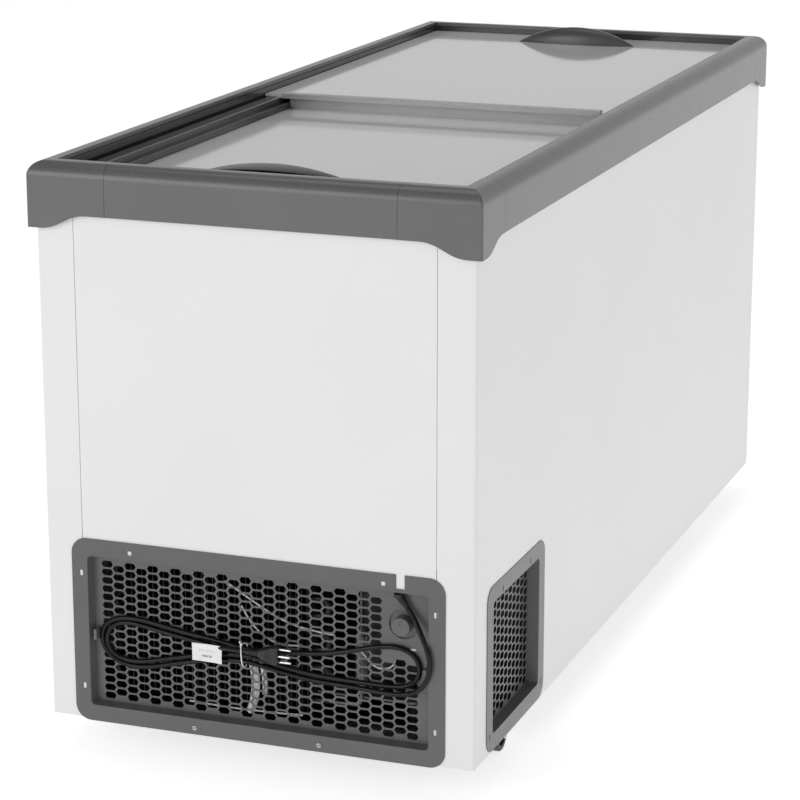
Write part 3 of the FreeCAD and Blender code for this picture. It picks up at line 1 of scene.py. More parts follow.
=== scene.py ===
"""Looks for the glass-topped chest freezer: materials, cord, plug, tag, tie, wiring, studio and camera.

Metres, in the frame shared with the CAD: +X along the case towards the plain end, -Y the side with
the small grille, +Z up, the origin on the floor under the middle.
"""
import json
import math

import bmesh
import bpy
from mathutils import Matrix, Vector


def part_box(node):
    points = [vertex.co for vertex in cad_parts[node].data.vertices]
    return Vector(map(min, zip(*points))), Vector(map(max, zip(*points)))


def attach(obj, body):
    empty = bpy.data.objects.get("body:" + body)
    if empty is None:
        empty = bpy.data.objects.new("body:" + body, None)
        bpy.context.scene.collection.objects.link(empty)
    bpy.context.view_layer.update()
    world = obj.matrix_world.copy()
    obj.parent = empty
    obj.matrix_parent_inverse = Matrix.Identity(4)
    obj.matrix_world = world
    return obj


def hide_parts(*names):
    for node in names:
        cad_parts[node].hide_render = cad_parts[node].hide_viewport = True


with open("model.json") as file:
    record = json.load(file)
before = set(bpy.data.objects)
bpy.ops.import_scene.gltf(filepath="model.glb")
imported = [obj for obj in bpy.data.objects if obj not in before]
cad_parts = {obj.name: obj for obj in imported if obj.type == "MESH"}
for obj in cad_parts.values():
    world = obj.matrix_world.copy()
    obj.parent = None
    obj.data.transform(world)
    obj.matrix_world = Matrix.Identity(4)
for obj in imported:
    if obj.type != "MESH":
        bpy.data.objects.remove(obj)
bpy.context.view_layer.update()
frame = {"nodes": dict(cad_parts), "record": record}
NODES = frame["nodes"]
CASE = "case"
MILLIMETRE = 0.001


# ---------------------------------------------------------------- material building blocks

class Look:
    """One material's node tree, with short names for the nodes that the looks below share."""

    def __init__(self, name):
        self.material = bpy.data.materials.new(name)
        self.material.use_nodes = True
        self.tree = self.material.node_tree
        self.shader = self.tree.nodes["Principled BSDF"]
        self.place = self.add("ShaderNodeTexCoord").outputs["Object"]
        self.height = None

    def add(self, kind, **settings):
        node = self.tree.nodes.new(kind)
        for key, value in settings.items():
            setattr(node, key, value)
        return node

    def wire(self, source, target):
        self.tree.links.new(source, target)

    def fixed(self, **values):
        """Sets the shader's own sockets, such as Metallic, to values that hold all over."""
        for key, value in values.items():
            self.shader.inputs[key.replace("_", " ")].default_value = value
        return self

    def noise(self, scale, detail=3.0, rough=0.55, stretch=None):
        node = self.add("ShaderNodeTexNoise")
        node.inputs["Scale"].default_value = scale
        node.inputs["Detail"].default_value = detail
        node.inputs["Roughness"].default_value = rough
        source = self.place
        if stretch:
            mapping = self.add("ShaderNodeMapping")
            mapping.inputs["Scale"].default_value = stretch
            self.wire(self.place, mapping.inputs["Vector"])
            source = mapping.outputs["Vector"]
        self.wire(source, node.inputs["Vector"])
        return node.outputs["Fac"]

    def ramp(self, source, stops):
        """A colour or grey for each value of source. stops: (position, grey or colour)."""
        node = self.add("ShaderNodeValToRGB")
        elements = node.color_ramp.elements
        while len(elements) < len(stops):
            elements.new(0.5)
        for element, (position, shade) in zip(elements, stops):
            element.position = position
            element.color = (*shade, 1) if isinstance(shade, tuple) else (shade, shade, shade, 1)
        self.wire(source, node.inputs["Fac"])
        return node.outputs["Color"]

    def maths(self, operation, first, second=None, third=None):
        node = self.add("ShaderNodeMath", operation=operation)
        for socket, value in zip(node.inputs, (first, second, third)):
            if value is None:
                continue
            if isinstance(value, (int, float)):
                socket.default_value = value
            else:
                self.wire(value, socket)
        return node.outputs["Value"]

    def axis(self, letter):
        if not hasattr(self, "split"):
            self.split = self.add("ShaderNodeSeparateXYZ")
            self.wire(self.place, self.split.inputs["Vector"])
        return self.split.outputs[letter]

    def mix(self, factor, low, high):
        node = self.add("ShaderNodeMix", data_type="RGBA")
        for socket, value in zip((node.inputs[0], node.inputs[6], node.inputs[7]),
                                 (factor, low, high)):
            if isinstance(value, (int, float)) and socket is node.inputs[0]:
                socket.default_value = value
            elif isinstance(value, (int, float)):
                socket.default_value = (value, value, value, 1)
            elif isinstance(value, tuple):
                socket.default_value = (*value, 1)
            else:
                self.wire(value, socket)
        return node.outputs[2]

    def colour(self, source):
        self.wire(source, self.shader.inputs["Base Color"])
        return self

    def rough(self, source, low, high):
        node = self.add("ShaderNodeMapRange")
        node.inputs["To Min"].default_value = low
        node.inputs["To Max"].default_value = high
        self.wire(source, node.inputs["Value"])
        self.wire(node.outputs["Result"], self.shader.inputs["Roughness"])
        return self

    def bump(self, source, strength, distance):
        node = self.add("ShaderNodeBump")
        node.inputs["Strength"].default_value = strength
        node.inputs["Distance"].default_value = distance
        self.wire(source, node.inputs["Height"])
        if self.height:
            self.wire(self.height, node.inputs["Normal"])
        self.height = node.outputs["Normal"]
        self.wire(self.height, self.shader.inputs["Normal"])
        return self


def painted(name, low, high, peel=0.05, rough=(0.28, 0.36), scale=2.2):
    """Painted sheet steel: faint orange peel, and a slow drift of shade over the sheet."""
    look = Look(name)
    slow = look.noise(scale, detail=2.0)
    look.colour(look.ramp(slow, [(0.3, low), (0.7, high)]))
    look.rough(look.noise(34, detail=3.0), *rough)
    look.bump(look.noise(420, detail=1.0), peel, 0.0006)
    return look


def moulded(name, low, high, grain=0.25, rough=(0.42, 0.55), fine=900, scale=5.0):
    """Moulded or extruded plastic: a fine grain, and soft patches where hands have polished it."""
    look = Look(name)
    slow = look.noise(scale, detail=4.0)
    look.colour(look.ramp(slow, [(0.3, low), (0.72, high)]))
    look.rough(look.noise(scale * 6, detail=3.0), *rough)
    look.bump(look.noise(fine, detail=2.0, rough=0.7), grain, 0.0004)
    return look


def metal(name, low, high, rough=(0.22, 0.42), stretch=(1, 1, 1), scale=120):
    """Plated or drawn metal with fine streaks along one direction."""
    look = Look(name)
    streaks = look.noise(scale, detail=4.0, rough=0.6, stretch=stretch)
    look.colour(look.ramp(streaks, [(0.25, low), (0.75, high)]))
    look.rough(streaks, *rough)
    look.bump(streaks, 0.15, 0.0003)
    look.fixed(Metallic=1.0)
    return look


def anodised(name, low, high):
    """Satin anodised aluminium extrusion, drawn along Y."""
    look = Look(name)
    streaks = look.noise(90, detail=3.0, stretch=(1, 0.05, 1))
    look.colour(look.ramp(streaks, [(0.3, low), (0.7, high)]))
    look.rough(streaks, 0.3, 0.4)
    look.bump(streaks, 0.08, 0.0003)
    look.fixed(Metallic=0.4)
    return look


# ---------------------------------------------------------------- camera and studio

CAMERA_SPOT = (-4.31463, -1.5008, 1.58359)
CAMERA_YAW = 0.35232
CAMERA_PITCH = -0.26185
CAMERA_LENS = 125.32
SENSOR = 36.0

camera_data = bpy.data.cameras.new("camera")
camera_data.lens = CAMERA_LENS
camera_data.sensor_width = SENSOR
camera_data.clip_start = 0.05
camera_data.clip_end = 100
camera = bpy.data.objects.new("camera", camera_data)
bpy.context.scene.collection.objects.link(camera)
camera.location = CAMERA_SPOT
aim = Vector((math.cos(CAMERA_YAW) * math.cos(CAMERA_PITCH),
              math.sin(CAMERA_YAW) * math.cos(CAMERA_PITCH), math.sin(CAMERA_PITCH)))
camera.rotation_mode = "QUATERNION"
camera.rotation_quaternion = aim.to_track_quat("-Z", "Y")
bpy.context.scene.camera = camera
bpy.context.scene.view_settings.view_transform = "Standard"


WORLD_STRENGTH = 0.8


def studio_world():
    """A bright horizon that fades to a dim ceiling, a little brighter beyond the two ends."""
    world = bpy.data.worlds.new("studio")
    bpy.context.scene.world = world
    world.use_nodes = True
    tree = world.node_tree
    add = tree.nodes.new
    link = tree.links.new
    way = add("ShaderNodeTexCoord")
    split = add("ShaderNodeSeparateXYZ")
    link(way.outputs["Generated"], split.inputs["Vector"])
    ramp = add("ShaderNodeValToRGB")
    stops = ramp.color_ramp.elements
    stops[0].position = 0.0
    stops[0].color = (1, 1, 1, 1)
    stops[1].position = 0.92
    stops[1].color = (0.2, 0.2, 0.2, 1)
    middle = stops.new(0.42)
    middle.color = (0.9, 0.9, 0.9, 1)
    link(split.outputs["Z"], ramp.inputs["Fac"])
    square = add("ShaderNodeMath")
    square.operation = "MULTIPLY"
    link(split.outputs["X"], square.inputs[0])
    link(split.outputs["X"], square.inputs[1])
    sides = add("ShaderNodeMapRange")
    sides.inputs["To Min"].default_value = 0.55
    sides.inputs["To Max"].default_value = 1.0
    link(square.outputs["Value"], sides.inputs["Value"])
    strength = add("ShaderNodeMath")
    strength.operation = "MULTIPLY"
    strength.inputs[1].default_value = WORLD_STRENGTH
    link(sides.outputs["Result"], strength.inputs[0])
    background = tree.nodes["Background"]
    link(ramp.outputs["Color"], background.inputs["Color"])
    link(strength.outputs["Value"], background.inputs["Strength"])


FLOOR_GLOW = 0.70
FLOOR_WIDTH = 60.0


def studio_floor():
    """A wide pale floor that glows a little, so that it stays pale next to the object."""
    half = FLOOR_WIDTH / 2
    floor_mesh = bpy.data.meshes.new("floor")
    floor_mesh.from_pydata([(-half, -half, 0), (half, -half, 0), (half, half, 0), (-half, half, 0)],
                           [], [(0, 1, 2, 3)])
    floor = bpy.data.objects.new("floor", floor_mesh)
    bpy.context.scene.collection.objects.link(floor)
    look = Look("floor_pale")
    look.colour(look.ramp(look.noise(0.8), [(0.3, 0.92), (0.7, 0.94)]))
    look.fixed(Roughness=0.8, Emission_Color=(1, 1, 1, 1), Emission_Strength=FLOOR_GLOW)
    floor_mesh.materials.append(look.material)


def softbox(name, spot, target, width, height, power):
    """A rectangular area light that faces its target."""
    light_data = bpy.data.lights.new(name, "AREA")
    light_data.shape = "RECTANGLE"
    light_data.size = width
    light_data.size_y = height
    light_data.energy = power
    light = bpy.data.objects.new(name, light_data)
    bpy.context.scene.collection.objects.link(light)
    light.location = spot
    light.rotation_mode = "QUATERNION"
    light.rotation_quaternion = (Vector(target) - Vector(spot)).to_track_quat("-Z", "Y")


studio_world()
studio_floor()
softbox("softbox_end", (-5.2, 2.4, 2.2), (-0.8, 0, 0.5), width=2.4, height=2.4, power=48)
softbox("softbox_side", (-1.5, -5.0, 2.6), (0, 0, 0.5), width=3.0, height=2.0, power=9)
softbox("softbox_top", (0.2, 0.3, 4.6), (0, 0, 0.9), width=3.0, height=2.4, power=30)


# ---------------------------------------------------------------- mesh helpers

def linked(name, data, look, body=CASE, stands_for=()):
    """Puts a finished mesh or curve into the scene, on its body, with its look."""
    thing = bpy.data.objects.new(name, data)
    bpy.context.scene.collection.objects.link(thing)
    if look:
        data.materials.append(look.material)
    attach(thing, body)
    if stands_for:
        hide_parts(*stands_for)
    return thing


def smooth(mesh, angle=35):
    """Shades the mesh smooth, apart from edges sharper than angle in degrees."""
    for polygon in mesh.polygons:
        polygon.use_smooth = True
    mesh.set_sharp_from_angle(angle=math.radians(angle))


def loft(name, rings):
    """A closed skin through rings of points, each ring with as many points as the next."""
    mesh = bpy.data.meshes.new(name)
    count = len(rings[0])
    points = [spot for ring in rings for spot in ring]
    faces = [tuple(reversed(range(count))), tuple(range(len(points) - count, len(points)))]
    for level in range(len(rings) - 1):
        base = level * count
        for index in range(count):
            beside = (index + 1) % count
            faces.append((base + index, base + beside, base + count + beside, base + count + index))
    mesh.from_pydata([tuple(spot) for spot in points], [], faces)
    sheet = bmesh.new()
    sheet.from_mesh(mesh)
    bmesh.ops.recalc_face_normals(sheet, faces=sheet.faces)
    sheet.to_mesh(mesh)
    sheet.free()
    smooth(mesh)
    return mesh


def lathe(name, profile, base, way, steps=32):
    """A turned form: profile holds (radius, distance along way from base)."""
    way = Vector(way).normalized()
    across = way.orthogonal().normalized()
    beside = way.cross(across)
    rings = []
    for radius, along in profile:
        ring = []
        for step in range(steps):
            turn = 2 * math.pi * step / steps
            ring.append(Vector(base) + way * along
                        + (across * math.cos(turn) + beside * math.sin(turn)) * radius)
        rings.append(ring)
    return loft(name, rings)


def joined(name, meshes):
    """One mesh out of several."""
    sheet = bmesh.new()
    for mesh in meshes:
        sheet.from_mesh(mesh)
    whole = bpy.data.meshes.new(name)
    sheet.to_mesh(whole)
    sheet.free()
    for mesh in meshes:
        bpy.data.meshes.remove(mesh)
    smooth(whole)
    return whole


def rounded_ring(centre, half_x, half_z, radius, per_corner=6):
    """A rectangle with round corners in a plane square to Y."""
    ring = []
    for side_x, side_z, start in ((1, 1, 0), (-1, 1, 90), (-1, -1, 180), (1, -1, 270)):
        for step in range(per_corner + 1):
            turn = math.radians(start + 90 * step / per_corner)
            ring.append(Vector((centre[0] + side_x * (half_x - radius) + math.cos(turn) * radius,
                                centre[1],
                                centre[2] + side_z * (half_z - radius) + math.sin(turn) * radius)))
    return ring


def spline_data(name, points, radius, resolution=4, cyclic=False):
    """A round-section NURBS curve with these control points, of order 3."""
    data = bpy.data.curves.new(name, "CURVE")
    data.dimensions = "3D"
    data.bevel_depth = radius
    data.bevel_resolution = resolution
    data.resolution_u = 10
    data.use_fill_caps = not cyclic
    spline = data.splines.new("NURBS")
    spline.points.add(len(points) - 1)
    for spot, point in zip(spline.points, points):
        spot.co = (*point, 1)
    spline.order_u = 3
    if cyclic:
        spline.use_cyclic_u = True
    else:
        spline.use_endpoint_u = True
    return data


# ---------------------------------------------------------------- power cord

# The bottom corner of the case's machine end, from which the cord's route is measured.
CASE_HALF_WIDTH = 0.332
CASE_BOTTOM = 0.055
CORD_WIDTH = 0.0075


def on_end(depth, across, up):
    """A point beside the machine end, from its place across the end and above the case's bottom."""
    return Vector((depth, across - CASE_HALF_WIDTH, up + CASE_BOTTOM))


# Depth of a strand that lies on the grille's pan, and of one that lies over another strand.
LOW = -0.8197
HIGH = -0.8285

LEAD_ROUTE = [
    (-0.8245, 0.1045, 0.2315), (-0.8245, 0.0950, 0.21883), (-0.8292, 0.0862, 0.2055),
    (-0.8342, 0.0775, 0.1915), (-0.8373, 0.0690, 0.1755), (-0.8380, 0.0645, 0.1575),
    (-0.8375, 0.0660, 0.1395), (-0.8354, 0.0725, 0.1230), (-0.8315, 0.0840, 0.1095),
]
# First pass: lower run, outer turn of the left loop, upper run, right loop.
FIRST_PASS = [
    (HIGH, 0.100, 0.1015), (HIGH, 0.121, 0.0985), (-0.8255, 0.147, 0.0980), (-0.8215, 0.177, 0.0985),
    (LOW, 0.216, 0.0990), (LOW, 0.256, 0.1005), (LOW, 0.286, 0.1050), (-0.8205, 0.316, 0.1105),
    (-0.8215, 0.351, 0.1165), (-0.8205, 0.389, 0.1150), (LOW, 0.430, 0.1070), (LOW, 0.470, 0.0975),
    (LOW, 0.505, 0.0880), (LOW, 0.535, 0.0845), (LOW, 0.562, 0.0910), (LOW, 0.580, 0.1065),
    (LOW, 0.5860, 0.1265), (LOW, 0.580, 0.1455), (LOW, 0.562, 0.1570), (LOW, 0.537, 0.1605),
    (LOW, 0.506, 0.1580), (LOW, 0.470, 0.1515), (LOW, 0.433, 0.1460), (-0.8205, 0.392, 0.1415),
    (-0.8215, 0.351, 0.1345), (-0.8205, 0.300, 0.1370), (LOW, 0.240, 0.1415), (LOW, 0.200, 0.1500),
    (LOW, 0.169, 0.1592), (LOW, 0.145, 0.1650), (LOW, 0.123, 0.1675), (LOW, 0.1047, 0.1640),
    (LOW, 0.0905, 0.1537), (LOW, 0.0851, 0.1370), (LOW, 0.0905, 0.1203),
]
# Second pass: lower run above the first, inner turn of the left loop, then up to the plug.
SECOND_PASS = [
    (LOW, 0.1047, 0.1100), (LOW, 0.123, 0.1065), (LOW, 0.147, 0.1062), (LOW, 0.177, 0.1068),
    (LOW, 0.216, 0.1075), (LOW, 0.256, 0.1095), (LOW, 0.286, 0.1140), (-0.8205, 0.316, 0.1195),
    (-0.8215, 0.351, 0.1255), (-0.8205, 0.389, 0.1240), (LOW, 0.430, 0.1160), (LOW, 0.470, 0.1065),
    (LOW, 0.505, 0.0975), (LOW, 0.525, 0.0940), (LOW, 0.5405, 0.0935), (LOW, 0.5588, 0.0978),
    (LOW, 0.5726, 0.1078), (LOW, 0.5779, 0.1240), (LOW, 0.5726, 0.1402), (LOW, 0.5588, 0.1502),
    (LOW, 0.541, 0.1528), (LOW, 0.523, 0.1515), (LOW, 0.505, 0.1483), (LOW, 0.470, 0.1425),
    (LOW, 0.433, 0.1370), (-0.8235, 0.405, 0.1345), (-0.8320, 0.386, 0.1365), (-0.8404, 0.368, 0.1398),
    (-0.8442, 0.352, 0.1410), (-0.8442, 0.341, 0.1410),
]
cord_points = [on_end(*point) for point in LEAD_ROUTE + FIRST_PASS + SECOND_PASS]

jacket = Look("cord_jacket")
jacket_drift = jacket.noise(55, detail=3.0)
jacket.colour(jacket.ramp(jacket_drift, [(0.3, 0.004), (0.75, 0.008)]))
jacket.rough(jacket.noise(260, detail=3.0), 0.12, 0.2)
jacket.bump(jacket.noise(700, detail=2.0), 0.03, 0.0002)
jacket.fixed(Specular_IOR_Level=0.25)

power_cord = linked("power_cord", spline_data("power_cord", cord_points, CORD_WIDTH / 2, 5), jacket,
                    stands_for=("cord_lead", "cord_hank"))


# ---------------------------------------------------------------- looks of the carried-over nodes

# The look of each material slot.
LOOKS = {
    "white_steel": painted("white_steel", 0.80, 0.83),
    "liner_white": painted("liner_white", 0.74, 0.78),
    "foam": moulded("foam", (0.70, 0.67, 0.60), (0.78, 0.75, 0.68), rough=(0.8, 0.9)),
    "grey_trim": moulded("grey_trim", 0.122, 0.134, grain=0.04, rough=(0.22, 0.3)),
    "dark_rail": moulded("dark_rail", 0.034, 0.042, grain=0.05, rough=(0.14, 0.2)),
    "lid_profile": anodised("lid_profile", 0.40, 0.46),
    "handle_grey": moulded("handle_grey", 0.075, 0.09, grain=0.08, rough=(0.2, 0.3)),
    "grille_grey": moulded("grille_grey", 0.104, 0.12, grain=0.2, rough=(0.26, 0.34)),
    "screw_steel": metal("screw_steel", 0.62, 0.78),
    "black_enamel": painted("black_enamel", 0.010, 0.016),
    "black_rubber": moulded("black_rubber", 0.012, 0.02),
    "black_plastic": moulded("black_plastic", 0.018, 0.03, rough=(0.4, 0.5)),
    "caster_tyre": moulded("caster_tyre", 0.02, 0.03),
    "copper": metal("copper", (0.15, 0.135, 0.125), (0.24, 0.22, 0.21), rough=(0.35, 0.5)),
    "cold_coil": metal("cold_coil", 0.6, 0.72),
    "white_plastic": moulded("white_plastic", 0.82, 0.88, grain=0.1),
}

glass = Look("lid_glass")
glass.colour(glass.ramp(glass.noise(3.0), [(0.3, (0.82, 0.83, 0.825)), (0.7, (0.85, 0.86, 0.855))]))
glass.rough(glass.noise(9.0), 0.06, 0.1)
glass.fixed(IOR=1.45, Transmission_Weight=0.12)
LOOKS["lid_glass"] = glass

for part in frame["record"]["subparts"]:
    node = NODES[part["node"]]
    node.data.materials.clear()
    node.data.materials.append(LOOKS[part["material_slot"]].material)

# Distance from the middle of each step edge where a pale stripe is painted as the edge's highlight, and
# half its width.
RAIL_EDGE_HIGHLIGHTS = [(0.2788, 0.0025), (0.2678, 0.0015)]


def rail_painted_highlights():
    """The dark extrusion of the long rails, with a painted highlight: a pale stripe along the edges of
    its two steps.
    """
    look = moulded("rail_painted_highlights", 0.034, 0.042, grain=0.05, rough=(0.14, 0.2))
    shade = look.shader.inputs["Base Color"].links[0].from_socket
    away = look.maths("ABSOLUTE", look.axis("Y"))
    for middle, half in RAIL_EDGE_HIGHLIGHTS:
        gap = look.maths("ABSOLUTE", look.maths("SUBTRACT", away, middle))
        # Painted highlight: each step edge gets a pale stripe in place of the light that the edge
        # catches.
        shade = look.mix(look.maths("LESS_THAN", gap, half), shade, 0.26)
    return look.colour(shade)


rail_highlight_look = rail_painted_highlights()
for name in ("lid_rail_front", "lid_rail_rear"):
    NODES[name].data.materials[0] = rail_highlight_look.material

# Extruded and pressed pieces get slightly broken edges, which catch the light: width in millimetres.
BROKEN_EDGES = {"lid_rail_front": 0.9, "lid_rail_rear": 0.9, "end_frame_machine": 0.9,
                "end_frame_plain": 0.9, "lower_lid_riser": 0.5, "machine_end_panel": 0.3,
                "plain_end_panel": 0.3, "machine_grille": 0.25, "side_grille": 0.25}
EDGE_ANGLE = 40
for name, width in BROKEN_EDGES.items():
    bevel = NODES[name].modifiers.new("broken_edges", "BEVEL")
    bevel.width = width * MILLIMETRE
    bevel.segments = 2
    bevel.limit_method = "ANGLE"
    bevel.angle_limit = math.radians(EDGE_ANGLE)
    bevel.harden_normals = True


# ---------------------------------------------------------------- plug

PLUG_SPOT = (-0.8442, -0.040, 0.196)
# Cross-sections from the face back, in millimetres: along, half depth, half height, corner radius.
PLUG_BODY = [(0.0, 7.2, 13.4, 4.2), (0.8, 8.1, 14.3, 4.8), (9.0, 8.2, 14.1, 4.8), (11.0, 8.0, 13.5, 4.8),
             (11.4, 7.4, 12.9, 4.6), (12.4, 7.4, 12.5, 4.6), (12.8, 7.9, 12.7, 4.6),
             (14.6, 7.8, 12.1, 4.6), (15.0, 7.2, 11.4, 4.4), (16.0, 7.2, 11.0, 4.4),
             (16.4, 7.7, 11.3, 4.4), (18.2, 7.6, 10.7, 4.4), (18.6, 7.0, 10.0, 4.3),
             (19.6, 7.0, 9.6, 4.3), (20.0, 7.4, 9.9, 4.3), (26.0, 6.8, 8.2, 4.4), (30.0, 6.0, 6.5, 4.6),
             (32.0, 5.5, 5.6, 4.9)]
# Ribs of the flexible tail, in millimetres: each has a waist, a ridge with sloping sides and a waist.
TAIL_RIBS = 6
TAIL_START = 32.6
TAIL_PITCH = 3.1
TAIL_RADIUS = 5.4
TAIL_TAPER = 0.16
TAIL_GROOVE = 0.9


def plug_mesh():
    """The moulded plug: a stepped grip that narrows into a ribbed, flexible tail."""
    sections = list(PLUG_BODY)
    for rib in range(TAIL_RIBS):
        start = TAIL_START + rib * TAIL_PITCH
        outer = TAIL_RADIUS - TAIL_TAPER * rib
        inner = outer - TAIL_GROOVE
        for along, radius in ((0, inner), (0.5, inner), (0.8, outer), (2.4, outer), (2.7, inner)):
            sections.append((start + along, radius, radius, radius * 0.98))
    x, y, z = PLUG_SPOT
    rings = []
    for along, deep, tall, radius in sections:
        rings.append(rounded_ring((x, y + along * MILLIMETRE, z), deep * MILLIMETRE, tall * MILLIMETRE,
                                  radius * MILLIMETRE))
    return loft("cord_plug_body", rings)


plug_look = moulded("plug_black", 0.008, 0.014, rough=(0.36, 0.48), fine=1400)
plug_piece = linked("plug_moulding", plug_mesh(), plug_look,
                    stands_for=("cord_plug",))

# Radius and distance from the plug's face, and how far each pin stands out and up from the middle.
PIN_PROFILE = [(0.0019, -0.0025), (0.0019, 0.016), (0.0018, 0.0176), (0.0013, 0.0186), (0.0006, 0.0189)]
PIN_PLACES = [(0.0, 0.0095), (0.0, -0.0095), (0.003, 0.0)]
pins = []
for out, up in PIN_PLACES:
    base = (PLUG_SPOT[0] - out, PLUG_SPOT[1], PLUG_SPOT[2] + up)
    pins.append(lathe("pin", PIN_PROFILE, base, (0, -1, 0), 20))
linked("plug_pins", joined("plug_pins", pins), metal("pin_metal", 0.72, 0.9, rough=(0.18, 0.32)))

# ---------------------------------------------------------------- strain relief in the notch

GLAND_LENGTH = 0.020
GLAND_RIBS = 6
GLAND_RIB_START = 0.0022
GLAND_RIB_PITCH = 0.0029
GLAND_RADIUS = 0.0060
GLAND_TAPER = 0.00027
GLAND_GROOVE = 0.0009
FLANGE_LEVEL = 0.2996
lead_way = (cord_points[1] - cord_points[0]).normalized()
gland_base = cord_points[0] - lead_way * GLAND_LENGTH
gland_profile = [(0.0060, 0.0), (0.0062, 0.0012)]
for rib in range(GLAND_RIBS):
    start = GLAND_RIB_START + rib * GLAND_RIB_PITCH
    outer = GLAND_RADIUS - GLAND_TAPER * rib
    inner = outer - GLAND_GROOVE
    gland_profile += [(inner, start), (outer, start + 0.0003), (outer, start + 0.0019),
                      (inner, start + 0.0022)]
gland_profile.append((0.0041, GLAND_LENGTH))
gland_sleeve = lathe("gland_sleeve", gland_profile, gland_base, lead_way)
flange_profile = [(0.0056, -0.0004), (0.0068, 0.0), (0.0068, 0.0046), (0.0060, 0.0052)]
gland_flange = lathe("gland_flange", flange_profile, (gland_base.x, gland_base.y, FLANGE_LEVEL),
                     (0, 0, 1))
linked("gland_sleeve", joined("gland_sleeve", [gland_sleeve, gland_flange]),
       moulded("gland_black", 0.014, 0.022, rough=(0.4, 0.5)),
       stands_for=("cord_gland",))

# ---------------------------------------------------------------- tag and wire tie

TAG_LOW, TAG_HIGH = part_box("cord_tag")


def tag_mesh():
    """A paper tag that curls a little."""
    wide, tall = 24, 14
    mesh = bpy.data.meshes.new("cord_tag_sheet")
    sheet = bmesh.new()
    grid = []
    for row in range(tall + 1):
        line = []
        for column in range(wide + 1):
            across = column / wide
            up = row / tall
            y = TAG_LOW[1] + (TAG_HIGH[1] - TAG_LOW[1]) * across
            lean = 0.0012 * (across - 0.5)
            z = TAG_LOW[2] + (TAG_HIGH[2] - TAG_LOW[2]) * up + lean
            curl = 0.0016 * (2 * across - 1) ** 2 + 0.0006 * math.sin(5.0 * up + 3.0 * across)
            line.append(sheet.verts.new((TAG_HIGH[0] - 0.0006 - curl, y, z)))
        grid.append(line)
    for row in range(tall):
        for column in range(wide):
            sheet.faces.new((grid[row][column], grid[row][column + 1], grid[row + 1][column + 1],
                             grid[row + 1][column]))
    sheet.to_mesh(mesh)
    sheet.free()
    smooth(mesh, 60)
    return mesh


def tag_look():
    """White card with two faint grey lines of unreadable print."""
    look = Look("tag_card")
    card = look.ramp(look.noise(90), [(0.3, 0.80), (0.7, 0.86)])
    dashes = look.maths("GREATER_THAN", look.noise(900, detail=1.0, stretch=(0.2, 1, 0.2)), 0.47)
    middle = (TAG_LOW[1] + TAG_HIGH[1]) / 2

    def band(centre, half_tall, shift, half_wide):
        up = look.maths("LESS_THAN", look.maths("ABSOLUTE", look.maths("SUBTRACT", look.axis("Z"),
                                                                      centre)), half_tall)
        along = look.maths("LESS_THAN", look.maths("ABSOLUTE", look.maths(
            "SUBTRACT", look.axis("Y"), middle + shift)), half_wide)
        return look.maths("MULTIPLY", look.maths("MULTIPLY", up, along), dashes)

    upper = look.mix(band(TAG_LOW[2] + 0.0165, 0.0011, 0.0, 0.0130), card, 0.55)
    lower = look.mix(band(TAG_LOW[2] + 0.0085, 0.0016, 0.001, 0.0080), upper, 0.22)
    look.colour(lower)
    look.rough(look.noise(300), 0.5, 0.62)
    look.bump(look.noise(500), 0.1, 0.0002)
    return look


tag = linked("tag_card", tag_mesh(), tag_look(), stands_for=("cord_tag",))
tag_thickness = tag.modifiers.new("card", "SOLIDIFY")
tag_thickness.thickness = 0.0004
tag_thickness.offset = 0

TIE_WIRE = 0.0009
# The wire goes round the strands and the plug's own cord, and its ends twist together on top.
TIE_LOOP = [(-0.8448, 0.0190, 0.2025), (-0.8478, 0.0180, 0.1980), (-0.8492, 0.0170, 0.1900),
            (-0.8440, 0.0185, 0.1780), (-0.8350, 0.0200, 0.1680), (-0.8240, 0.0205, 0.1655),
            (-0.8172, 0.0205, 0.1700), (-0.8170, 0.0200, 0.1850), (-0.8185, 0.0195, 0.1960),
            (-0.8290, 0.0190, 0.2030), (-0.8400, 0.0190, 0.2050), (-0.8440, 0.0195, 0.2055)]
TIE_KNOT = [(-0.8440, 0.0190, 0.2020), (-0.8462, 0.0200, 0.2040), (-0.8445, 0.0170, 0.2058),
            (-0.8468, 0.0185, 0.2078), (-0.8450, 0.0205, 0.2090), (-0.8470, 0.0200, 0.2105)]
tie_look = moulded("tie_white", 0.8, 0.86, grain=0.1)
linked("tie_loop", spline_data("tie_loop", TIE_LOOP, TIE_WIRE, 3), tie_look,
       stands_for=("cord_tie",))
linked("tie_knot", spline_data("tie_knot", TIE_KNOT, TIE_WIRE * 1.25, 3), tie_look)

# ---------------------------------------------------------------- grille screws

# An eyelet screw: radius and distance out of the grille's face, from its shank to its socket's bottom.
SCREW_PROFILE = [(0.0019, -0.010), (0.0019, -0.0002), (0.0034, 0.0), (0.0034, 0.0008), (0.0031, 0.0015),
                 (0.0026, 0.0017), (0.0021, 0.0015), (0.0019, -0.0060), (0.0004, -0.0062)]
GRILLE_FACE = -0.8327
SCREW_PLACES = (0.100, -0.096)
SCREW_LEVEL = 0.062
screws = []
for across in SCREW_PLACES:
    screws.append(lathe("screw", SCREW_PROFILE, (GRILLE_FACE, across, SCREW_LEVEL), (-1, 0, 0), 24))
linked("grille_screw_heads", joined("grille_screw_heads", screws), LOOKS["screw_steel"],
       stands_for=("grille_screws",))

# ---------------------------------------------------------------- clip in the pan's slot

CLIP_SPOT = (-0.8152, -0.2345, 0.21975)
# From inside the slot to its rounded front: distance out, half width, half height.
CLIP_SECTIONS = [(-0.0015, 0.0043, 0.00155), (0.0008, 0.0043, 0.00155), (0.0013, 0.0040, 0.0012),
                 (0.0014, 0.0034, 0.0008)]
clip = loft("slot_clip", [rounded_ring((0, out, 0), half_wide, half_tall, half_tall * 0.98)
                          for out, half_wide, half_tall in CLIP_SECTIONS])
clip.transform(Matrix.Translation(CLIP_SPOT) @ Matrix.Rotation(math.radians(90), 4, "Z"))
linked("slot_clip", clip, LOOKS["white_plastic"])

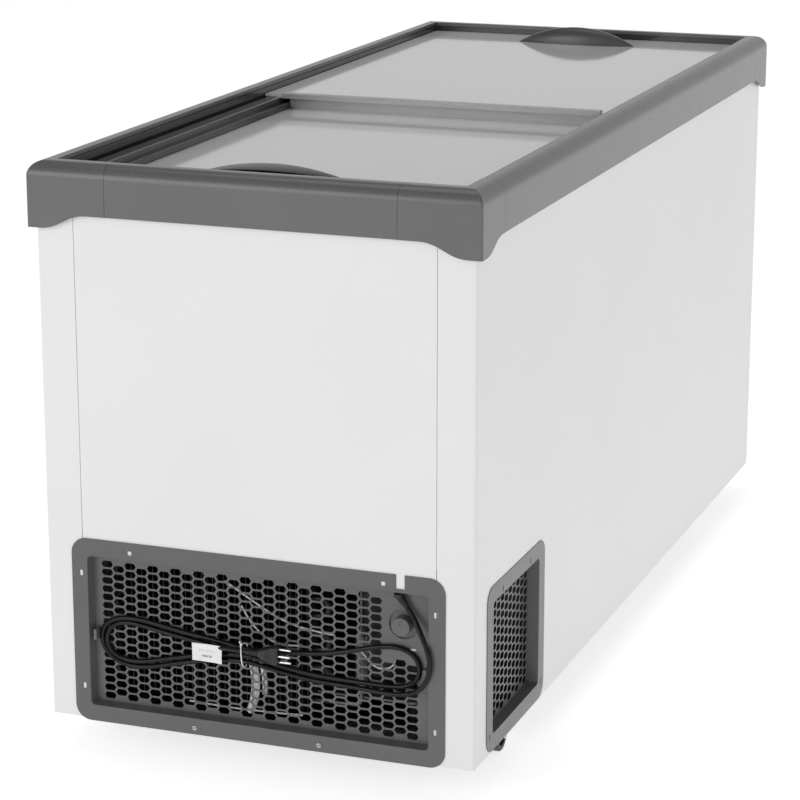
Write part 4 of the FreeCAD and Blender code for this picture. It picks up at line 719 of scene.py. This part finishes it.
# ---------------------------------------------------------------- wiring seen through the grille

sleeve_look = Look("braided_sleeve")
weave = sleeve_look.noise(1500, detail=1.0, stretch=(1, 1, 0.5))
sleeve_look.colour(sleeve_look.ramp(weave, [(0.36, 0.30), (0.5, 0.95)]))
sleeve_look.rough(weave, 0.5, 0.7)
sleeve_look.bump(weave, 0.6, 0.0006)
SLEEVE = [(-0.806, 0.020, 0.176), (-0.806, 0.016, 0.160), (-0.805, 0.013, 0.140), (-0.805, 0.014, 0.120),
          (-0.804, 0.018, 0.100), (-0.802, 0.024, 0.088)]
SLEEVE_RADIUS = 0.0065
SHORT_SLEEVE_RADIUS = 0.0040
SHORT_SLEEVE_SHIFT = (0.002, -0.014, -0.002)
linked("pipe_sleeve", spline_data("pipe_sleeve", SLEEVE, SLEEVE_RADIUS, 4), sleeve_look)
short_sleeve = [tuple(place + shift for place, shift in zip(point, SHORT_SLEEVE_SHIFT))
                for point in SLEEVE[:4]]
linked("pipe_sleeve_short", spline_data("pipe_sleeve_short", short_sleeve, SHORT_SLEEVE_RADIUS, 4),
       sleeve_look)

wire_look = moulded("wire_pale", 0.78, 0.9, grain=0.1)
WIRE_RADIUS = 0.0014
WIRES = {
    "wire_high": [(-0.805, 0.060, 0.285), (-0.806, 0.020, 0.262), (-0.806, -0.020, 0.240),
                  (-0.805, -0.060, 0.226), (-0.803, -0.110, 0.222)],
    "wire_loop": [(-0.805, -0.150, 0.205), (-0.806, -0.165, 0.188), (-0.806, -0.180, 0.180),
                  (-0.805, -0.198, 0.184), (-0.804, -0.205, 0.198), (-0.802, -0.196, 0.212)],
    "wire_low": [(-0.805, 0.120, 0.092), (-0.806, 0.060, 0.090), (-0.806, 0.000, 0.091),
                 (-0.805, -0.060, 0.093)],
    "wire_cross": [(-0.804, 0.035, 0.250), (-0.806, 0.020, 0.225), (-0.806, -0.005, 0.205),
                   (-0.805, -0.030, 0.196), (-0.803, -0.060, 0.200)],
}
for name, route in WIRES.items():
    linked(name, spline_data(name, route, WIRE_RADIUS, 3), wire_look)
